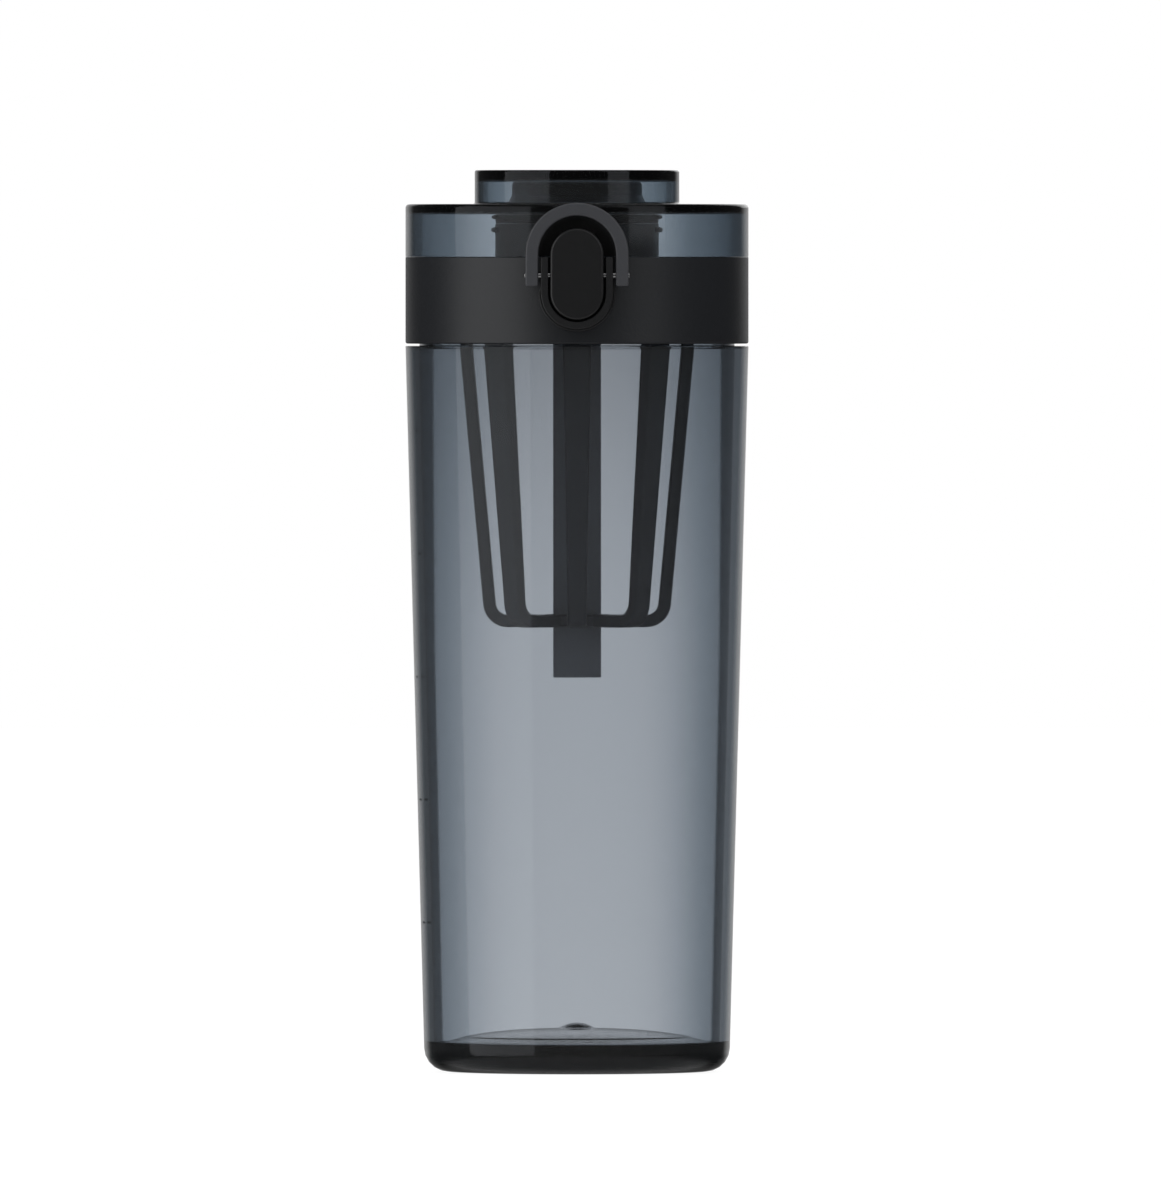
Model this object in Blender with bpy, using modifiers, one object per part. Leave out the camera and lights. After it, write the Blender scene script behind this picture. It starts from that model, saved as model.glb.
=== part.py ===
"""A shaker bottle with a push-button flip lid, as separate pieces.

Metres, +Z up. The origin is the centre of the underside, and the button faces -Y.
"""

import math

import bmesh
import bpy
from mathutils import Matrix, Vector

# Clearances, and the fineness of round shapes
GAP = 0.0003
OVERRUN = 0.002
EMBED = 0.0008
TURNED_STEPS = 48
SMALL_STEPS = 32
PIN_STEPS = 16
ARC_POINTS = 5
ARCH_POINTS = 17
MERGE = 0.000001
SHARP_ANGLE = math.radians(35)
BEVEL_ANGLE = math.radians(40)
FLAT_ANGLE = math.radians(1)

# Tumbler: a straight taper from the shoulder down to a thick foot
SHOULDER_HEIGHT = 0.1819
SHOULDER_RADIUS = 0.0430
SHOULDER_EDGE = 0.0005
FOOT_RADIUS = 0.0382
FOOT_CORNER = 0.0060
BODY_WALL = 0.0028
FLOOR_HEIGHT = 0.0099
FLOOR_DOME = 0.0013
FLOOR_CORNER = 0.0030
NUB_RADIUS = 0.0046
NUB_HEIGHT = 0.0006
REST_WIDTH = 0.0075
RECESS_DEPTH = 0.0012
NECK_SETBACK = 0.0035
NECK_WALL = 0.0023
NECK_HEIGHT = 0.0161
SHOULDER_WEB = 0.0012
WEB_CORNER = 0.0005

# Thread between the neck and the collar
THREAD_LEAD = 0.0050
THREAD_HEIGHT = 0.0010
THREAD_ROOT = 0.0018
THREAD_CREST = 0.0009
THREAD_START = 0.0056
THREAD_TURNS = 1.25
THREAD_PLAY = 0.0004
TAPER_SHARES = (0.2, 0.6)

# Collar
COLLAR_LIFT = 0.0006
COLLAR_HEIGHT = 0.0217
COLLAR_EDGE = 0.0004
LEDGE_WIDTH = 0.0011
LEDGE_THICKNESS = 0.0007

# Inner lid with the drinking mouth
DECK_DROP = 0.0003
DECK_THICKNESS = 0.0023
MOUTH_RADIUS = 0.0205
MOUTH_WALL = 0.0040
MOUTH_HEIGHT = 0.0087
MOUTH_EDGE = 0.0008
MOUTH_DROP = 0.0010
RIB_REACH = 0.0008
RIB_WIDTH = 0.0008
RIB_HEIGHT = 0.0072
SEAL_LAND = 0.0009
SOCKET_SPACING = 0.0028
SOCKET_WALL = 0.0018
SOCKET_DEPTH = 0.0115
BEAD_REACH = 0.0002
BEAD_WIDTH = 0.0012
BEAD_HEIGHT = 0.0040

# Neck gasket
GASKET_THICKNESS = 0.0020

# Mixing cage and stirring blade
CAGE_RING_WALL = 0.0031
CAGE_RING_TOP = 0.0020
CAGE_RING_HEIGHT = 0.0146
CAGE_SHELF = 0.0014
CAGE_SHELF_THICKNESS = 0.0009
CAGE_DEPTH = 0.0733
CAGE_TAPER = 0.0049
CAGE_CORNER = 0.0035
CAGE_ARMS = 8
CORNER_SHARES = (0.0, 0.25, 0.5, 0.75, 1.0)
ARM_THICKNESS = 0.0031
ARM_WIDTH_TOP = 0.0062
ARM_WIDTH_FOOT = 0.0041
HUB_RADIUS = 0.0085
BLADE_WIDTH = 0.0120
BLADE_THICKNESS = 0.0030
BLADE_BELOW_CAGE = 0.0128
BLADE_CORNER = 0.0006

# Flip cover: a wide drum with a raised crown
COVER_HEIGHT = 0.0133
COVER_WALL = 0.0018
COVER_PLATE = 0.0022
COVER_EDGE = 0.0010
CROWN_PLAY = 0.00245
CROWN_HEIGHT = 0.0085
CROWN_WALL = 0.0019
CROWN_PLATE = 0.0026
CROWN_EDGE = 0.0005
CROWN_FOOT = 0.0005

# Stopper in the crown
CORE_INSET = 0.0042
CORE_STRAIGHT = 0.0034
CORE_EDGE = 0.0010
CORE_FLARE = 0.0029
CORE_RIM = 0.0008
PLUG_PLAY = 0.0016
PLUG_WALL = 0.0020
PLUG_DEPTH = 0.0027
PLUG_ROOF = 0.0026
SEAL_THICKNESS = 0.0017
SEAL_LIP_WIDTH = 0.0010

# Latch pin, lock bail and button
PIN_RADIUS = 0.00065
PIN_PLAY = 0.0003
PIN_STANDOFF = 0.0030
PIN_BELOW_TOP = 0.0045
PIN_PROUD = 0.00025
BAIL_PLAY = 0.00038
BAIL_WIDTH = 0.00319
BAIL_THICKNESS = 0.0034
BAIL_TAIL = 0.0027
BAIL_EDGE = 0.0004
BUTTON_WIDTH = 0.0133
BUTTON_HEIGHT = 0.0228
BUTTON_RISE = 0.0003
BUTTON_THICKNESS = 0.0024
BUTTON_OUT = 0.0060
BUTTON_EDGE = 0.0006
BUTTON_PLAY = 0.0006
LUG_RADIUS = 0.0019
LUG_INSET = 0.0003
HOOK_WIDTH = 0.0070
HOOK_THICKNESS = 0.0017
HOOK_RISE = 0.0076
CATCH_OVERLAP = 0.0003
SPRING_SEAT_RADIUS = 0.0023
SPRING_SEAT_DEPTH = 0.0011
SPRING_BELOW_PIN = 0.0084
SPRING_RADIUS = 0.0016
SPRING_WIRE = 0.0004
SPRING_TURNS = 3

# Bezel round the button
BEZEL_WALL = 0.00175
BEZEL_OUT = 0.0053
PEDESTAL_PROUD = 0.0006
WAIST_PROUD = 0.0003
WAIST_STEP = 0.0009
BEZEL_DEPTH = 0.0040
BEZEL_EDGE = 0.0003

# Catch block in the cover's front
NOTCH_REVEAL = 0.00062
NOTCH_HEADROOM = 0.0001
CATCH_PROUD = 0.0006
CATCH_WALL = 0.0010
CATCH_FLANGE = 0.0022
CATCH_FLANGE_THICKNESS = 0.0012
CATCH_FLOOR = 0.0024
LEDGE_BAR_OVERLAP = 0.0010
LEDGE_BAR_HEIGHT = 0.0013
LEDGE_BAR_REACH = 0.0023

# Rear hinge
BARREL_RADIUS = 0.0028
HINGE_PIN_RADIUS = 0.0012
HINGE_PLAY = 0.0005
EAR_INNER = 0.0080
EAR_OUTER = 0.0120
EAR_ROOT = 0.0075
EAR_TOP_DROP = 0.0010
KNUCKLE_INNER = 0.0036
KNUCKLE_ARM_RISE = 0.0050
HINGE_BLOCK_HEIGHT = 0.0072
HINGE_BLOCK_PROUD = 0.0005
HINGE_FLANGE = 0.0032
HINGE_FLANGE_THICKNESS = 0.0012
TORSION_RADIUS = 0.0019
TORSION_WIRE = 0.0006
TORSION_PITCH = 0.0011
TORSION_TURNS = 5
TORSION_LEG = 0.0050
TORSION_TOE = 0.0006

# Coils: ten points a turn
COIL_POINTS = 10
COIL_ROUNDNESS = 1

# Places that follow from the sizes above
NECK_RADIUS = SHOULDER_RADIUS - NECK_SETBACK
NECK_BORE = NECK_RADIUS - NECK_WALL
NECK_TOP = SHOULDER_HEIGHT + NECK_HEIGHT
COLLAR_RADIUS = SHOULDER_RADIUS
COLLAR_BOTTOM = SHOULDER_HEIGHT + COLLAR_LIFT
COLLAR_TOP = COLLAR_BOTTOM + COLLAR_HEIGHT
COLLAR_BORE = NECK_RADIUS + THREAD_HEIGHT + THREAD_PLAY
DECK_TOP = COLLAR_TOP - DECK_DROP
DECK_BOTTOM = DECK_TOP - DECK_THICKNESS
MOUTH_TOP = DECK_TOP + MOUTH_HEIGHT
MOUTH_BORE = MOUTH_RADIUS - MOUTH_WALL
SOCKET_BORE = MOUTH_RADIUS + SOCKET_SPACING
SOCKET_RADIUS = SOCKET_BORE + SOCKET_WALL
CAGE_RING_BORE = SOCKET_RADIUS + GAP
CAGE_RADIUS = CAGE_RING_BORE + CAGE_RING_WALL
CAGE_FOOT_RADIUS = CAGE_RADIUS - CAGE_TAPER
SOCKET_BOTTOM = DECK_BOTTOM - SOCKET_DEPTH
CAGE_TOP = DECK_BOTTOM - CAGE_RING_TOP
CAGE_RING_BOTTOM = CAGE_TOP - CAGE_RING_HEIGHT
CAGE_FLOOR = CAGE_RING_BOTTOM - CAGE_DEPTH
BLADE_HEAD_BOTTOM = CAGE_RING_BOTTOM + CAGE_SHELF_THICKNESS + GAP
BLADE_HEAD_TOP = SOCKET_BOTTOM - GAP
COVER_RADIUS = COLLAR_RADIUS
COVER_BOTTOM = COLLAR_TOP + GAP
COVER_TOP = COLLAR_TOP + COVER_HEIGHT
COVER_ROOF = COVER_TOP - COVER_PLATE
CROWN_TOP = COVER_TOP + CROWN_HEIGHT
CROWN_ROOF = CROWN_TOP - CROWN_PLATE
CROWN_BORE = MOUTH_RADIUS + RIB_REACH + CROWN_PLAY
CROWN_RADIUS = CROWN_BORE + CROWN_WALL
CORE_RADIUS = MOUTH_RADIUS - CORE_INSET
PLUG_RADIUS = MOUTH_BORE - PLUG_PLAY
SEAL_BOTTOM = MOUTH_TOP + GAP
SEAL_TOP = SEAL_BOTTOM + SEAL_THICKNESS
CORE_BOTTOM = SEAL_TOP + GAP
CORE_TOP = CROWN_ROOF - GAP
PIN_OUT = COLLAR_RADIUS + PIN_STANDOFF
PIN_HEIGHT = COLLAR_TOP - PIN_BELOW_TOP
BUTTON_FACE = COLLAR_RADIUS + BUTTON_OUT
BUTTON_BACK = BUTTON_FACE - BUTTON_THICKNESS
BUTTON_RADIUS = BUTTON_WIDTH / 2
BUTTON_LOW = PIN_HEIGHT + BUTTON_RISE - BUTTON_HEIGHT / 2
BUTTON_HIGH = BUTTON_LOW + BUTTON_HEIGHT
POCKET_RADIUS = BUTTON_RADIUS + BUTTON_PLAY
RIM_RADIUS = POCKET_RADIUS + BEZEL_WALL
PEDESTAL_RADIUS = RIM_RADIUS + PEDESTAL_PROUD
PEDESTAL_WAIST = RIM_RADIUS + WAIST_PROUD
BAIL_INNER = PEDESTAL_WAIST + BAIL_PLAY
BAIL_RADIUS = BAIL_INNER + BAIL_WIDTH
NOTCH_RADIUS = BAIL_INNER + NOTCH_REVEAL
ARCH_HEIGHT = COVER_ROOF - NOTCH_HEADROOM - NOTCH_RADIUS
POCKET_CENTRE = BUTTON_LOW + BUTTON_RADIUS
HOOK_LOW = PIN_HEIGHT + HOOK_RISE
HOOK_HIGH = HOOK_LOW + HOOK_THICKNESS
CATCH_FACE = COVER_RADIUS + CATCH_PROUD
CATCH_BACK = COVER_RADIUS - COVER_WALL - CATCH_FLOOR + CATCH_FLANGE_THICKNESS
LEDGE_FACE = COVER_RADIUS - COVER_WALL - CATCH_FLOOR + CATCH_FLANGE_THICKNESS + LEDGE_BAR_REACH
HINGE_OUT = BUTTON_FACE - BARREL_RADIUS
HINGE_HEIGHT = COLLAR_TOP
HINGE_BLOCK_HALF = EAR_INNER - HINGE_PLAY
BARREL_BORE = HINGE_PIN_RADIUS + PIN_PLAY


def clear_scene():
    """Empties the scene that the script starts in."""
    for item in list(bpy.data.objects):
        bpy.data.objects.remove(item, do_unlink=True)


def new_collection(name):
    collection = bpy.data.collections.new(name)
    bpy.context.scene.collection.children.link(collection)
    return collection


def finish(name, colour, roughness, metallic=0.0, transmission=0.0):
    """A surface finish for one piece."""
    material = bpy.data.materials.new(name)
    material.use_nodes = True
    shader = material.node_tree.nodes["Principled BSDF"]
    shader.inputs["Base Color"].default_value = (*colour, 1.0)
    shader.inputs["Roughness"].default_value = roughness
    shader.inputs["Metallic"].default_value = metallic
    shader.inputs["Transmission Weight"].default_value = transmission
    return material


def arc(centre, radius, start, end, points=ARC_POINTS):
    """Points on an arc from the start angle to the end angle, both in degrees."""
    found = []
    for index in range(points):
        angle = math.radians(start + (end - start) * index / (points - 1))
        found.append((centre[0] + radius * math.cos(angle), centre[1] + radius * math.sin(angle)))
    return found


def add_object(name, mesh, collection):
    item = bpy.data.objects.new(name, mesh)
    collection.objects.link(item)
    return item


def mesh_from(builder, name):
    """A mesh made by a bmesh builder function, with its faces pointing out."""
    shape = bmesh.new()
    builder(shape)
    bmesh.ops.remove_doubles(shape, verts=shape.verts, dist=MERGE)
    bmesh.ops.recalc_face_normals(shape, faces=shape.faces)
    mesh = bpy.data.meshes.new(name)
    shape.to_mesh(mesh)
    shape.free()
    return mesh


def baked(item, name):
    """The mesh of an object with its modifiers worked in, in world space."""
    graph = bpy.context.evaluated_depsgraph_get()
    graph.update()
    mesh = bpy.data.meshes.new_from_object(item.evaluated_get(graph))
    mesh.transform(item.matrix_world)
    mesh.name = name
    return mesh


def turned(name, profile, collection, closed=True, steps=TURNED_STEPS):
    """A shape turned about Z. The profile runs down the outer side and up the inner side."""
    edges = [(index, index + 1) for index in range(len(profile) - 1)]
    if closed:
        edges.append((len(profile) - 1, 0))
    mesh = bpy.data.meshes.new(name)
    mesh.from_pydata([(radius, 0.0, height) for radius, height in profile], edges, [])
    item = add_object(name, mesh, collection)
    screw = item.modifiers.new("Turn", "SCREW")
    screw.axis = "Z"
    screw.angle = math.tau
    screw.steps = steps
    screw.render_steps = steps
    screw.use_merge_vertices = True
    screw.merge_threshold = MERGE
    return item


def prism(name, outlines, low, high, collection, along="Y"):
    """A flat outline with a thickness. Along Y it is drawn in X and Z, along X in Y and Z."""
    curve = bpy.data.curves.new(name, "CURVE")
    curve.dimensions = "2D"
    curve.fill_mode = "BOTH"
    curve.extrude = (high - low) / 2
    for outline in outlines:
        spline = curve.splines.new("POLY")
        spline.points.add(len(outline) - 1)
        spline.use_cyclic_u = True
        for point, (across, up) in zip(spline.points, outline):
            point.co = (across, up, 0.0, 1.0)
    drawn = add_object(name + "_outline", curve, collection)
    middle = (low + high) / 2
    if along == "Y":
        place = Matrix.Translation((0.0, middle, 0.0)) @ Matrix.Rotation(math.pi / 2, 4, "X")
    else:
        turn = Matrix(((0, 0, 1, 0), (1, 0, 0, 0), (0, 1, 0, 0), (0, 0, 0, 1)))
        place = Matrix.Translation((middle, 0.0, 0.0)) @ turn
    drawn.matrix_world = place
    bpy.context.view_layer.update()
    mesh = baked(drawn, name)
    bpy.data.objects.remove(drawn, do_unlink=True)

    def weld(shape):
        shape.from_mesh(mesh)
        bmesh.ops.remove_doubles(shape, verts=shape.verts, dist=MERGE)
        bmesh.ops.dissolve_limit(
            shape, angle_limit=FLAT_ANGLE, verts=shape.verts, edges=shape.edges,
        )

    return add_object(name, mesh_from(weld, name), collection)


def box(name, low, high, collection):
    """A block between two corners."""
    size = Vector(high) - Vector(low)
    middle = (Vector(high) + Vector(low)) / 2
    place = Matrix.Translation(middle) @ Matrix.Diagonal((*size, 1.0))

    def fill(shape):
        bmesh.ops.create_cube(shape, size=1.0, matrix=place)

    return add_object(name, mesh_from(fill, name), collection)


def rod(name, radius, start, end, collection, steps=PIN_STEPS):
    """A straight round rod from one point to another."""
    start = Vector(start)
    end = Vector(end)
    turn = (end - start).to_track_quat("Z", "Y").to_matrix().to_4x4()
    place = Matrix.Translation((start + end) / 2) @ turn

    def fill(shape):
        bmesh.ops.create_cone(
            shape, cap_ends=True, segments=steps, radius1=radius, radius2=radius,
            depth=(end - start).length, matrix=place,
        )

    return add_object(name, mesh_from(fill, name), collection)


def cross_pin(name, radius, half_length, out, height, collection):
    """A rod along X at a place given by its Y and Z."""
    return rod(name, radius, (-half_length, out, height), (half_length, out, height), collection)


def wire(name, points, radius, collection):
    """An unbroken round wire through the points."""
    curve = bpy.data.curves.new(name, "CURVE")
    curve.dimensions = "3D"
    curve.bevel_depth = radius
    curve.bevel_resolution = COIL_ROUNDNESS
    curve.use_fill_caps = True
    spline = curve.splines.new("POLY")
    spline.points.add(len(points) - 1)
    for point, place in zip(spline.points, points):
        point.co = (*place, 1.0)
    drawn = add_object(name + "_route", curve, collection)
    bpy.context.view_layer.update()
    mesh = baked(drawn, name)
    bpy.data.objects.remove(drawn, do_unlink=True)

    def weld(shape):
        shape.from_mesh(mesh)

    return add_object(name, mesh_from(weld, name), collection)


def soften(item, width, segments=2):
    """Rounds an object's sharp edges."""
    bevel = item.modifiers.new("Rounded edges", "BEVEL")
    bevel.width = width
    bevel.segments = segments
    bevel.limit_method = "ANGLE"
    bevel.angle_limit = BEVEL_ANGLE


def combine(item, other, operation):
    """Joins another shape to an object, or cuts it away."""
    boolean = item.modifiers.new(other.name, "BOOLEAN")
    boolean.operation = operation
    boolean.solver = "EXACT"
    boolean.object = other
    other.hide_render = True
    other.display_type = "WIRE"


def join(item, *others):
    for other in others:
        combine(item, other, "UNION")


def cut(item, *others):
    for other in others:
        combine(item, other, "DIFFERENCE")


def complete(item, material, pivot=(0.0, 0.0, 0.0)):
    """Works the modifiers in, shades the piece and puts its origin at its pivot."""
    mesh = baked(item, item.name)
    item.modifiers.clear()
    item.data = mesh
    mesh.transform(Matrix.Translation(-Vector(pivot)))
    item.location = pivot
    mesh.materials.clear()
    mesh.materials.append(material)
    mesh.shade_smooth()
    mesh.set_sharp_from_angle(angle=SHARP_ANGLE)
    return item


def thread_ridge(name, root, crest, start, collection):
    """A ridge that climbs along a helix, tapered at both ends, with its root inside its carrier."""
    per_turn = TURNED_STEPS
    count = round(THREAD_TURNS * per_turn)
    rings = []
    shape = bmesh.new()
    for index in range(count + 1):
        from_end = min(index, count - index)
        share = TAPER_SHARES[from_end] if from_end < len(TAPER_SHARES) else 1.0
        angle = math.tau * index / per_turn
        height = start + THREAD_LEAD * index / per_turn
        reach = root + (crest - root) * share
        corners = (
            (root, height - THREAD_ROOT / 2),
            (reach, height - THREAD_CREST / 2),
            (reach, height + THREAD_CREST / 2),
            (root, height + THREAD_ROOT / 2),
        )
        ring = []
        for radius, up in corners:
            ring.append(shape.verts.new((radius * math.cos(angle), radius * math.sin(angle), up)))
        rings.append(ring)
    for one, two in zip(rings, rings[1:]):
        for corner in range(4):
            after = (corner + 1) % 4
            shape.faces.new((one[corner], one[after], two[after], two[corner]))
    shape.faces.new(rings[0])
    shape.faces.new(rings[-1])
    bmesh.ops.recalc_face_normals(shape, faces=shape.faces)
    mesh = bpy.data.meshes.new(name)
    shape.to_mesh(mesh)
    shape.free()
    return add_object(name, mesh, collection)


def stadium(half_width, low, high):
    """A long oval outline in X and Z."""
    lower = arc((0.0, low + half_width), half_width, 180, 360, ARCH_POINTS)
    upper = arc((0.0, high - half_width), half_width, 0, 180, ARCH_POINTS)
    return lower + upper


def arch(radius, centre, low):
    """A round-topped outline that stands on a straight foot."""
    return arc((0.0, centre), radius, 0, 180, ARCH_POINTS) + [(-radius, low), (radius, low)]


def body_radius(height):
    """The tumbler's outer radius at a height."""
    return FOOT_RADIUS + (SHOULDER_RADIUS - FOOT_RADIUS) * height / SHOULDER_HEIGHT


def make_tumbler(parts, cutters, material):
    """The clear body: tapered wall, thick foot, domed floor and threaded neck."""
    corner = (FOOT_RADIUS - FOOT_CORNER, FOOT_CORNER)
    bore_low = body_radius(FLOOR_HEIGHT) - BODY_WALL
    bore_high = body_radius(SHOULDER_HEIGHT) - BODY_WALL
    rest_inner = FOOT_RADIUS - FOOT_CORNER - REST_WIDTH
    web_low = SHOULDER_HEIGHT - SHOULDER_WEB
    lip = NECK_WALL / 4
    dome_top = FLOOR_HEIGHT + FLOOR_DOME
    profile = [
        (NECK_BORE + lip, NECK_TOP),
        (NECK_RADIUS - lip, NECK_TOP),
        (NECK_RADIUS, NECK_TOP - lip),
        (NECK_RADIUS, SHOULDER_HEIGHT),
        (SHOULDER_RADIUS - SHOULDER_EDGE, SHOULDER_HEIGHT),
        (SHOULDER_RADIUS, SHOULDER_HEIGHT - SHOULDER_EDGE),
    ]
    profile += arc(corner, FOOT_CORNER, 0, -90)
    profile += [
        (rest_inner, 0.0),
        (rest_inner - RECESS_DEPTH, RECESS_DEPTH),
        (0.0, RECESS_DEPTH),
        (0.0, dome_top + NUB_HEIGHT),
        (NUB_RADIUS - NUB_HEIGHT, dome_top + NUB_HEIGHT),
        (NUB_RADIUS, dome_top),
        ((NUB_RADIUS + bore_low) / 2, FLOOR_HEIGHT + FLOOR_DOME * 3 / 4),
    ]
    profile += arc((bore_low - FLOOR_CORNER, FLOOR_HEIGHT + FLOOR_CORNER), FLOOR_CORNER, -90, 0)
    profile += arc((bore_high - WEB_CORNER, web_low - WEB_CORNER), WEB_CORNER, 0, 90, 3)
    profile += [(NECK_BORE, web_low), (NECK_BORE, NECK_TOP - lip)]
    tumbler = turned("tumbler", profile, parts)
    ridge = thread_ridge(
        "neck_thread", NECK_RADIUS - EMBED, NECK_RADIUS + THREAD_HEIGHT,
        SHOULDER_HEIGHT + THREAD_START, cutters,
    )
    join(tumbler, ridge)
    return complete(tumbler, material)


def make_neck_gasket(parts, material):
    """The silicone ring on the neck's rim."""
    low = NECK_TOP + GAP
    high = low + GASKET_THICKNESS
    profile = [(NECK_RADIUS, high), (NECK_RADIUS, low), (NECK_BORE, low), (NECK_BORE, high)]
    return complete(turned("neck_gasket", profile, parts), material)


def hinge_ear(name, low, high, collection):
    """One hinge ear: a barrel with a root that runs down into the collar's wall."""
    wall_middle = (COLLAR_RADIUS + COLLAR_BORE) / 2
    ear_middle = (EAR_INNER + EAR_OUTER) / 2
    wall = math.sqrt(wall_middle ** 2 - ear_middle ** 2)
    outline = [(wall, HINGE_HEIGHT - EAR_ROOT)]
    outline += arc((HINGE_OUT, HINGE_HEIGHT), BARREL_RADIUS, -60, 180, ARCH_POINTS)
    outline += [(wall, HINGE_HEIGHT - EAR_TOP_DROP)]
    return prism(name, [outline], low, high, collection, along="X")


def make_collar(parts, cutters, material):
    """The screw collar, with a thread inside and two hinge ears behind."""
    ledge_inner = COLLAR_BORE - LEDGE_WIDTH
    ledge_top = DECK_BOTTOM - GAP
    ledge_bottom = ledge_top - LEDGE_THICKNESS
    profile = [(COLLAR_RADIUS - COLLAR_EDGE, COLLAR_TOP), (COLLAR_RADIUS, COLLAR_TOP - COLLAR_EDGE)]
    profile += [(COLLAR_RADIUS, COLLAR_BOTTOM + COLLAR_EDGE)]
    profile += [
        (COLLAR_RADIUS - COLLAR_EDGE, COLLAR_BOTTOM),
        (COLLAR_BORE, COLLAR_BOTTOM),
        (COLLAR_BORE, ledge_bottom - LEDGE_WIDTH),
        (ledge_inner, ledge_bottom),
        (ledge_inner, ledge_top),
        (COLLAR_BORE, ledge_top),
        (COLLAR_BORE, COLLAR_TOP),
    ]
    collar = turned("collar", profile, parts)
    slope = (THREAD_CREST - THREAD_ROOT) / 2
    flanks = THREAD_ROOT + slope * (THREAD_HEIGHT + THREAD_PLAY) / THREAD_HEIGHT
    start = SHOULDER_HEIGHT + THREAD_START - flanks - GAP
    ridge = thread_ridge(
        "collar_thread", COLLAR_BORE + EMBED, COLLAR_BORE - THREAD_HEIGHT, start, cutters,
    )
    join(collar, ridge)
    left = hinge_ear("ear_left", -EAR_OUTER, -EAR_INNER, cutters)
    right = hinge_ear("ear_right", EAR_INNER, EAR_OUTER, cutters)
    join(collar, left, right)
    bore = cross_pin(
        "ear_bore", BARREL_BORE, EAR_OUTER + OVERRUN, HINGE_OUT, HINGE_HEIGHT, cutters,
    )
    cut(collar, bore)
    return complete(collar, material)


def make_lid_deck(parts, material):
    """The inner lid: a plate with the drinking mouth above it and the cage's socket below."""
    plate_radius = COLLAR_BORE - GAP
    rib = DECK_TOP + RIB_HEIGHT
    land = NECK_TOP + GAP + GASKET_THICKNESS + GAP
    bead = SOCKET_BOTTOM + BEAD_HEIGHT
    mouth_foot = DECK_BOTTOM - MOUTH_DROP
    land_outer = COLLAR_BORE - LEDGE_WIDTH - GAP
    profile = [
        (MOUTH_RADIUS - MOUTH_EDGE, MOUTH_TOP),
        (MOUTH_RADIUS, MOUTH_TOP - MOUTH_EDGE),
        (MOUTH_RADIUS, rib + RIB_WIDTH / 2),
        (MOUTH_RADIUS + RIB_REACH, rib + RIB_WIDTH / 4),
        (MOUTH_RADIUS + RIB_REACH, rib - RIB_WIDTH / 4),
        (MOUTH_RADIUS, rib - RIB_WIDTH / 2),
        (MOUTH_RADIUS, DECK_TOP),
        (plate_radius, DECK_TOP),
        (plate_radius, DECK_BOTTOM),
        (land_outer, DECK_BOTTOM),
        (land_outer, land),
        (NECK_BORE, land),
        (NECK_BORE, DECK_BOTTOM),
        (SOCKET_RADIUS, DECK_BOTTOM),
        (SOCKET_RADIUS, bead + BEAD_WIDTH / 2),
        (SOCKET_RADIUS + BEAD_REACH, bead),
        (SOCKET_RADIUS, bead - BEAD_WIDTH / 2),
        (SOCKET_RADIUS, SOCKET_BOTTOM),
        (SOCKET_BORE, SOCKET_BOTTOM),
        (SOCKET_BORE, DECK_BOTTOM),
        (MOUTH_RADIUS, DECK_BOTTOM),
        (MOUTH_RADIUS - MOUTH_DROP, mouth_foot),
        (MOUTH_BORE, mouth_foot),
        (MOUTH_BORE, MOUTH_TOP - MOUTH_EDGE),
        (MOUTH_BORE + MOUTH_EDGE, MOUTH_TOP),
    ]
    return complete(turned("lid_deck", profile, parts), material)


def cage_arm_route():
    """Middle line of one arm in radius and height, with the inward unit normal at each point."""
    top = Vector((CAGE_RADIUS - ARM_THICKNESS / 2, CAGE_RING_BOTTOM + EMBED))
    floor = CAGE_FLOOR + ARM_THICKNESS / 2
    foot = Vector((CAGE_FOOT_RADIUS - ARM_THICKNESS / 2, floor + CAGE_CORNER))
    lean = math.atan2(top.x - foot.x, top.y - foot.y)
    centre = foot - Vector((math.cos(lean), -math.sin(lean))) * CAGE_CORNER
    route = [(top, lean)]
    for share in CORNER_SHARES:
        turn = lean + (math.pi / 2 - lean) * share
        route.append((centre + Vector((math.cos(turn), -math.sin(turn))) * CAGE_CORNER, turn))
    bottom = centre.y - CAGE_CORNER
    route.append((Vector((HUB_RADIUS - EMBED, bottom)), math.pi / 2))
    return route


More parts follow.
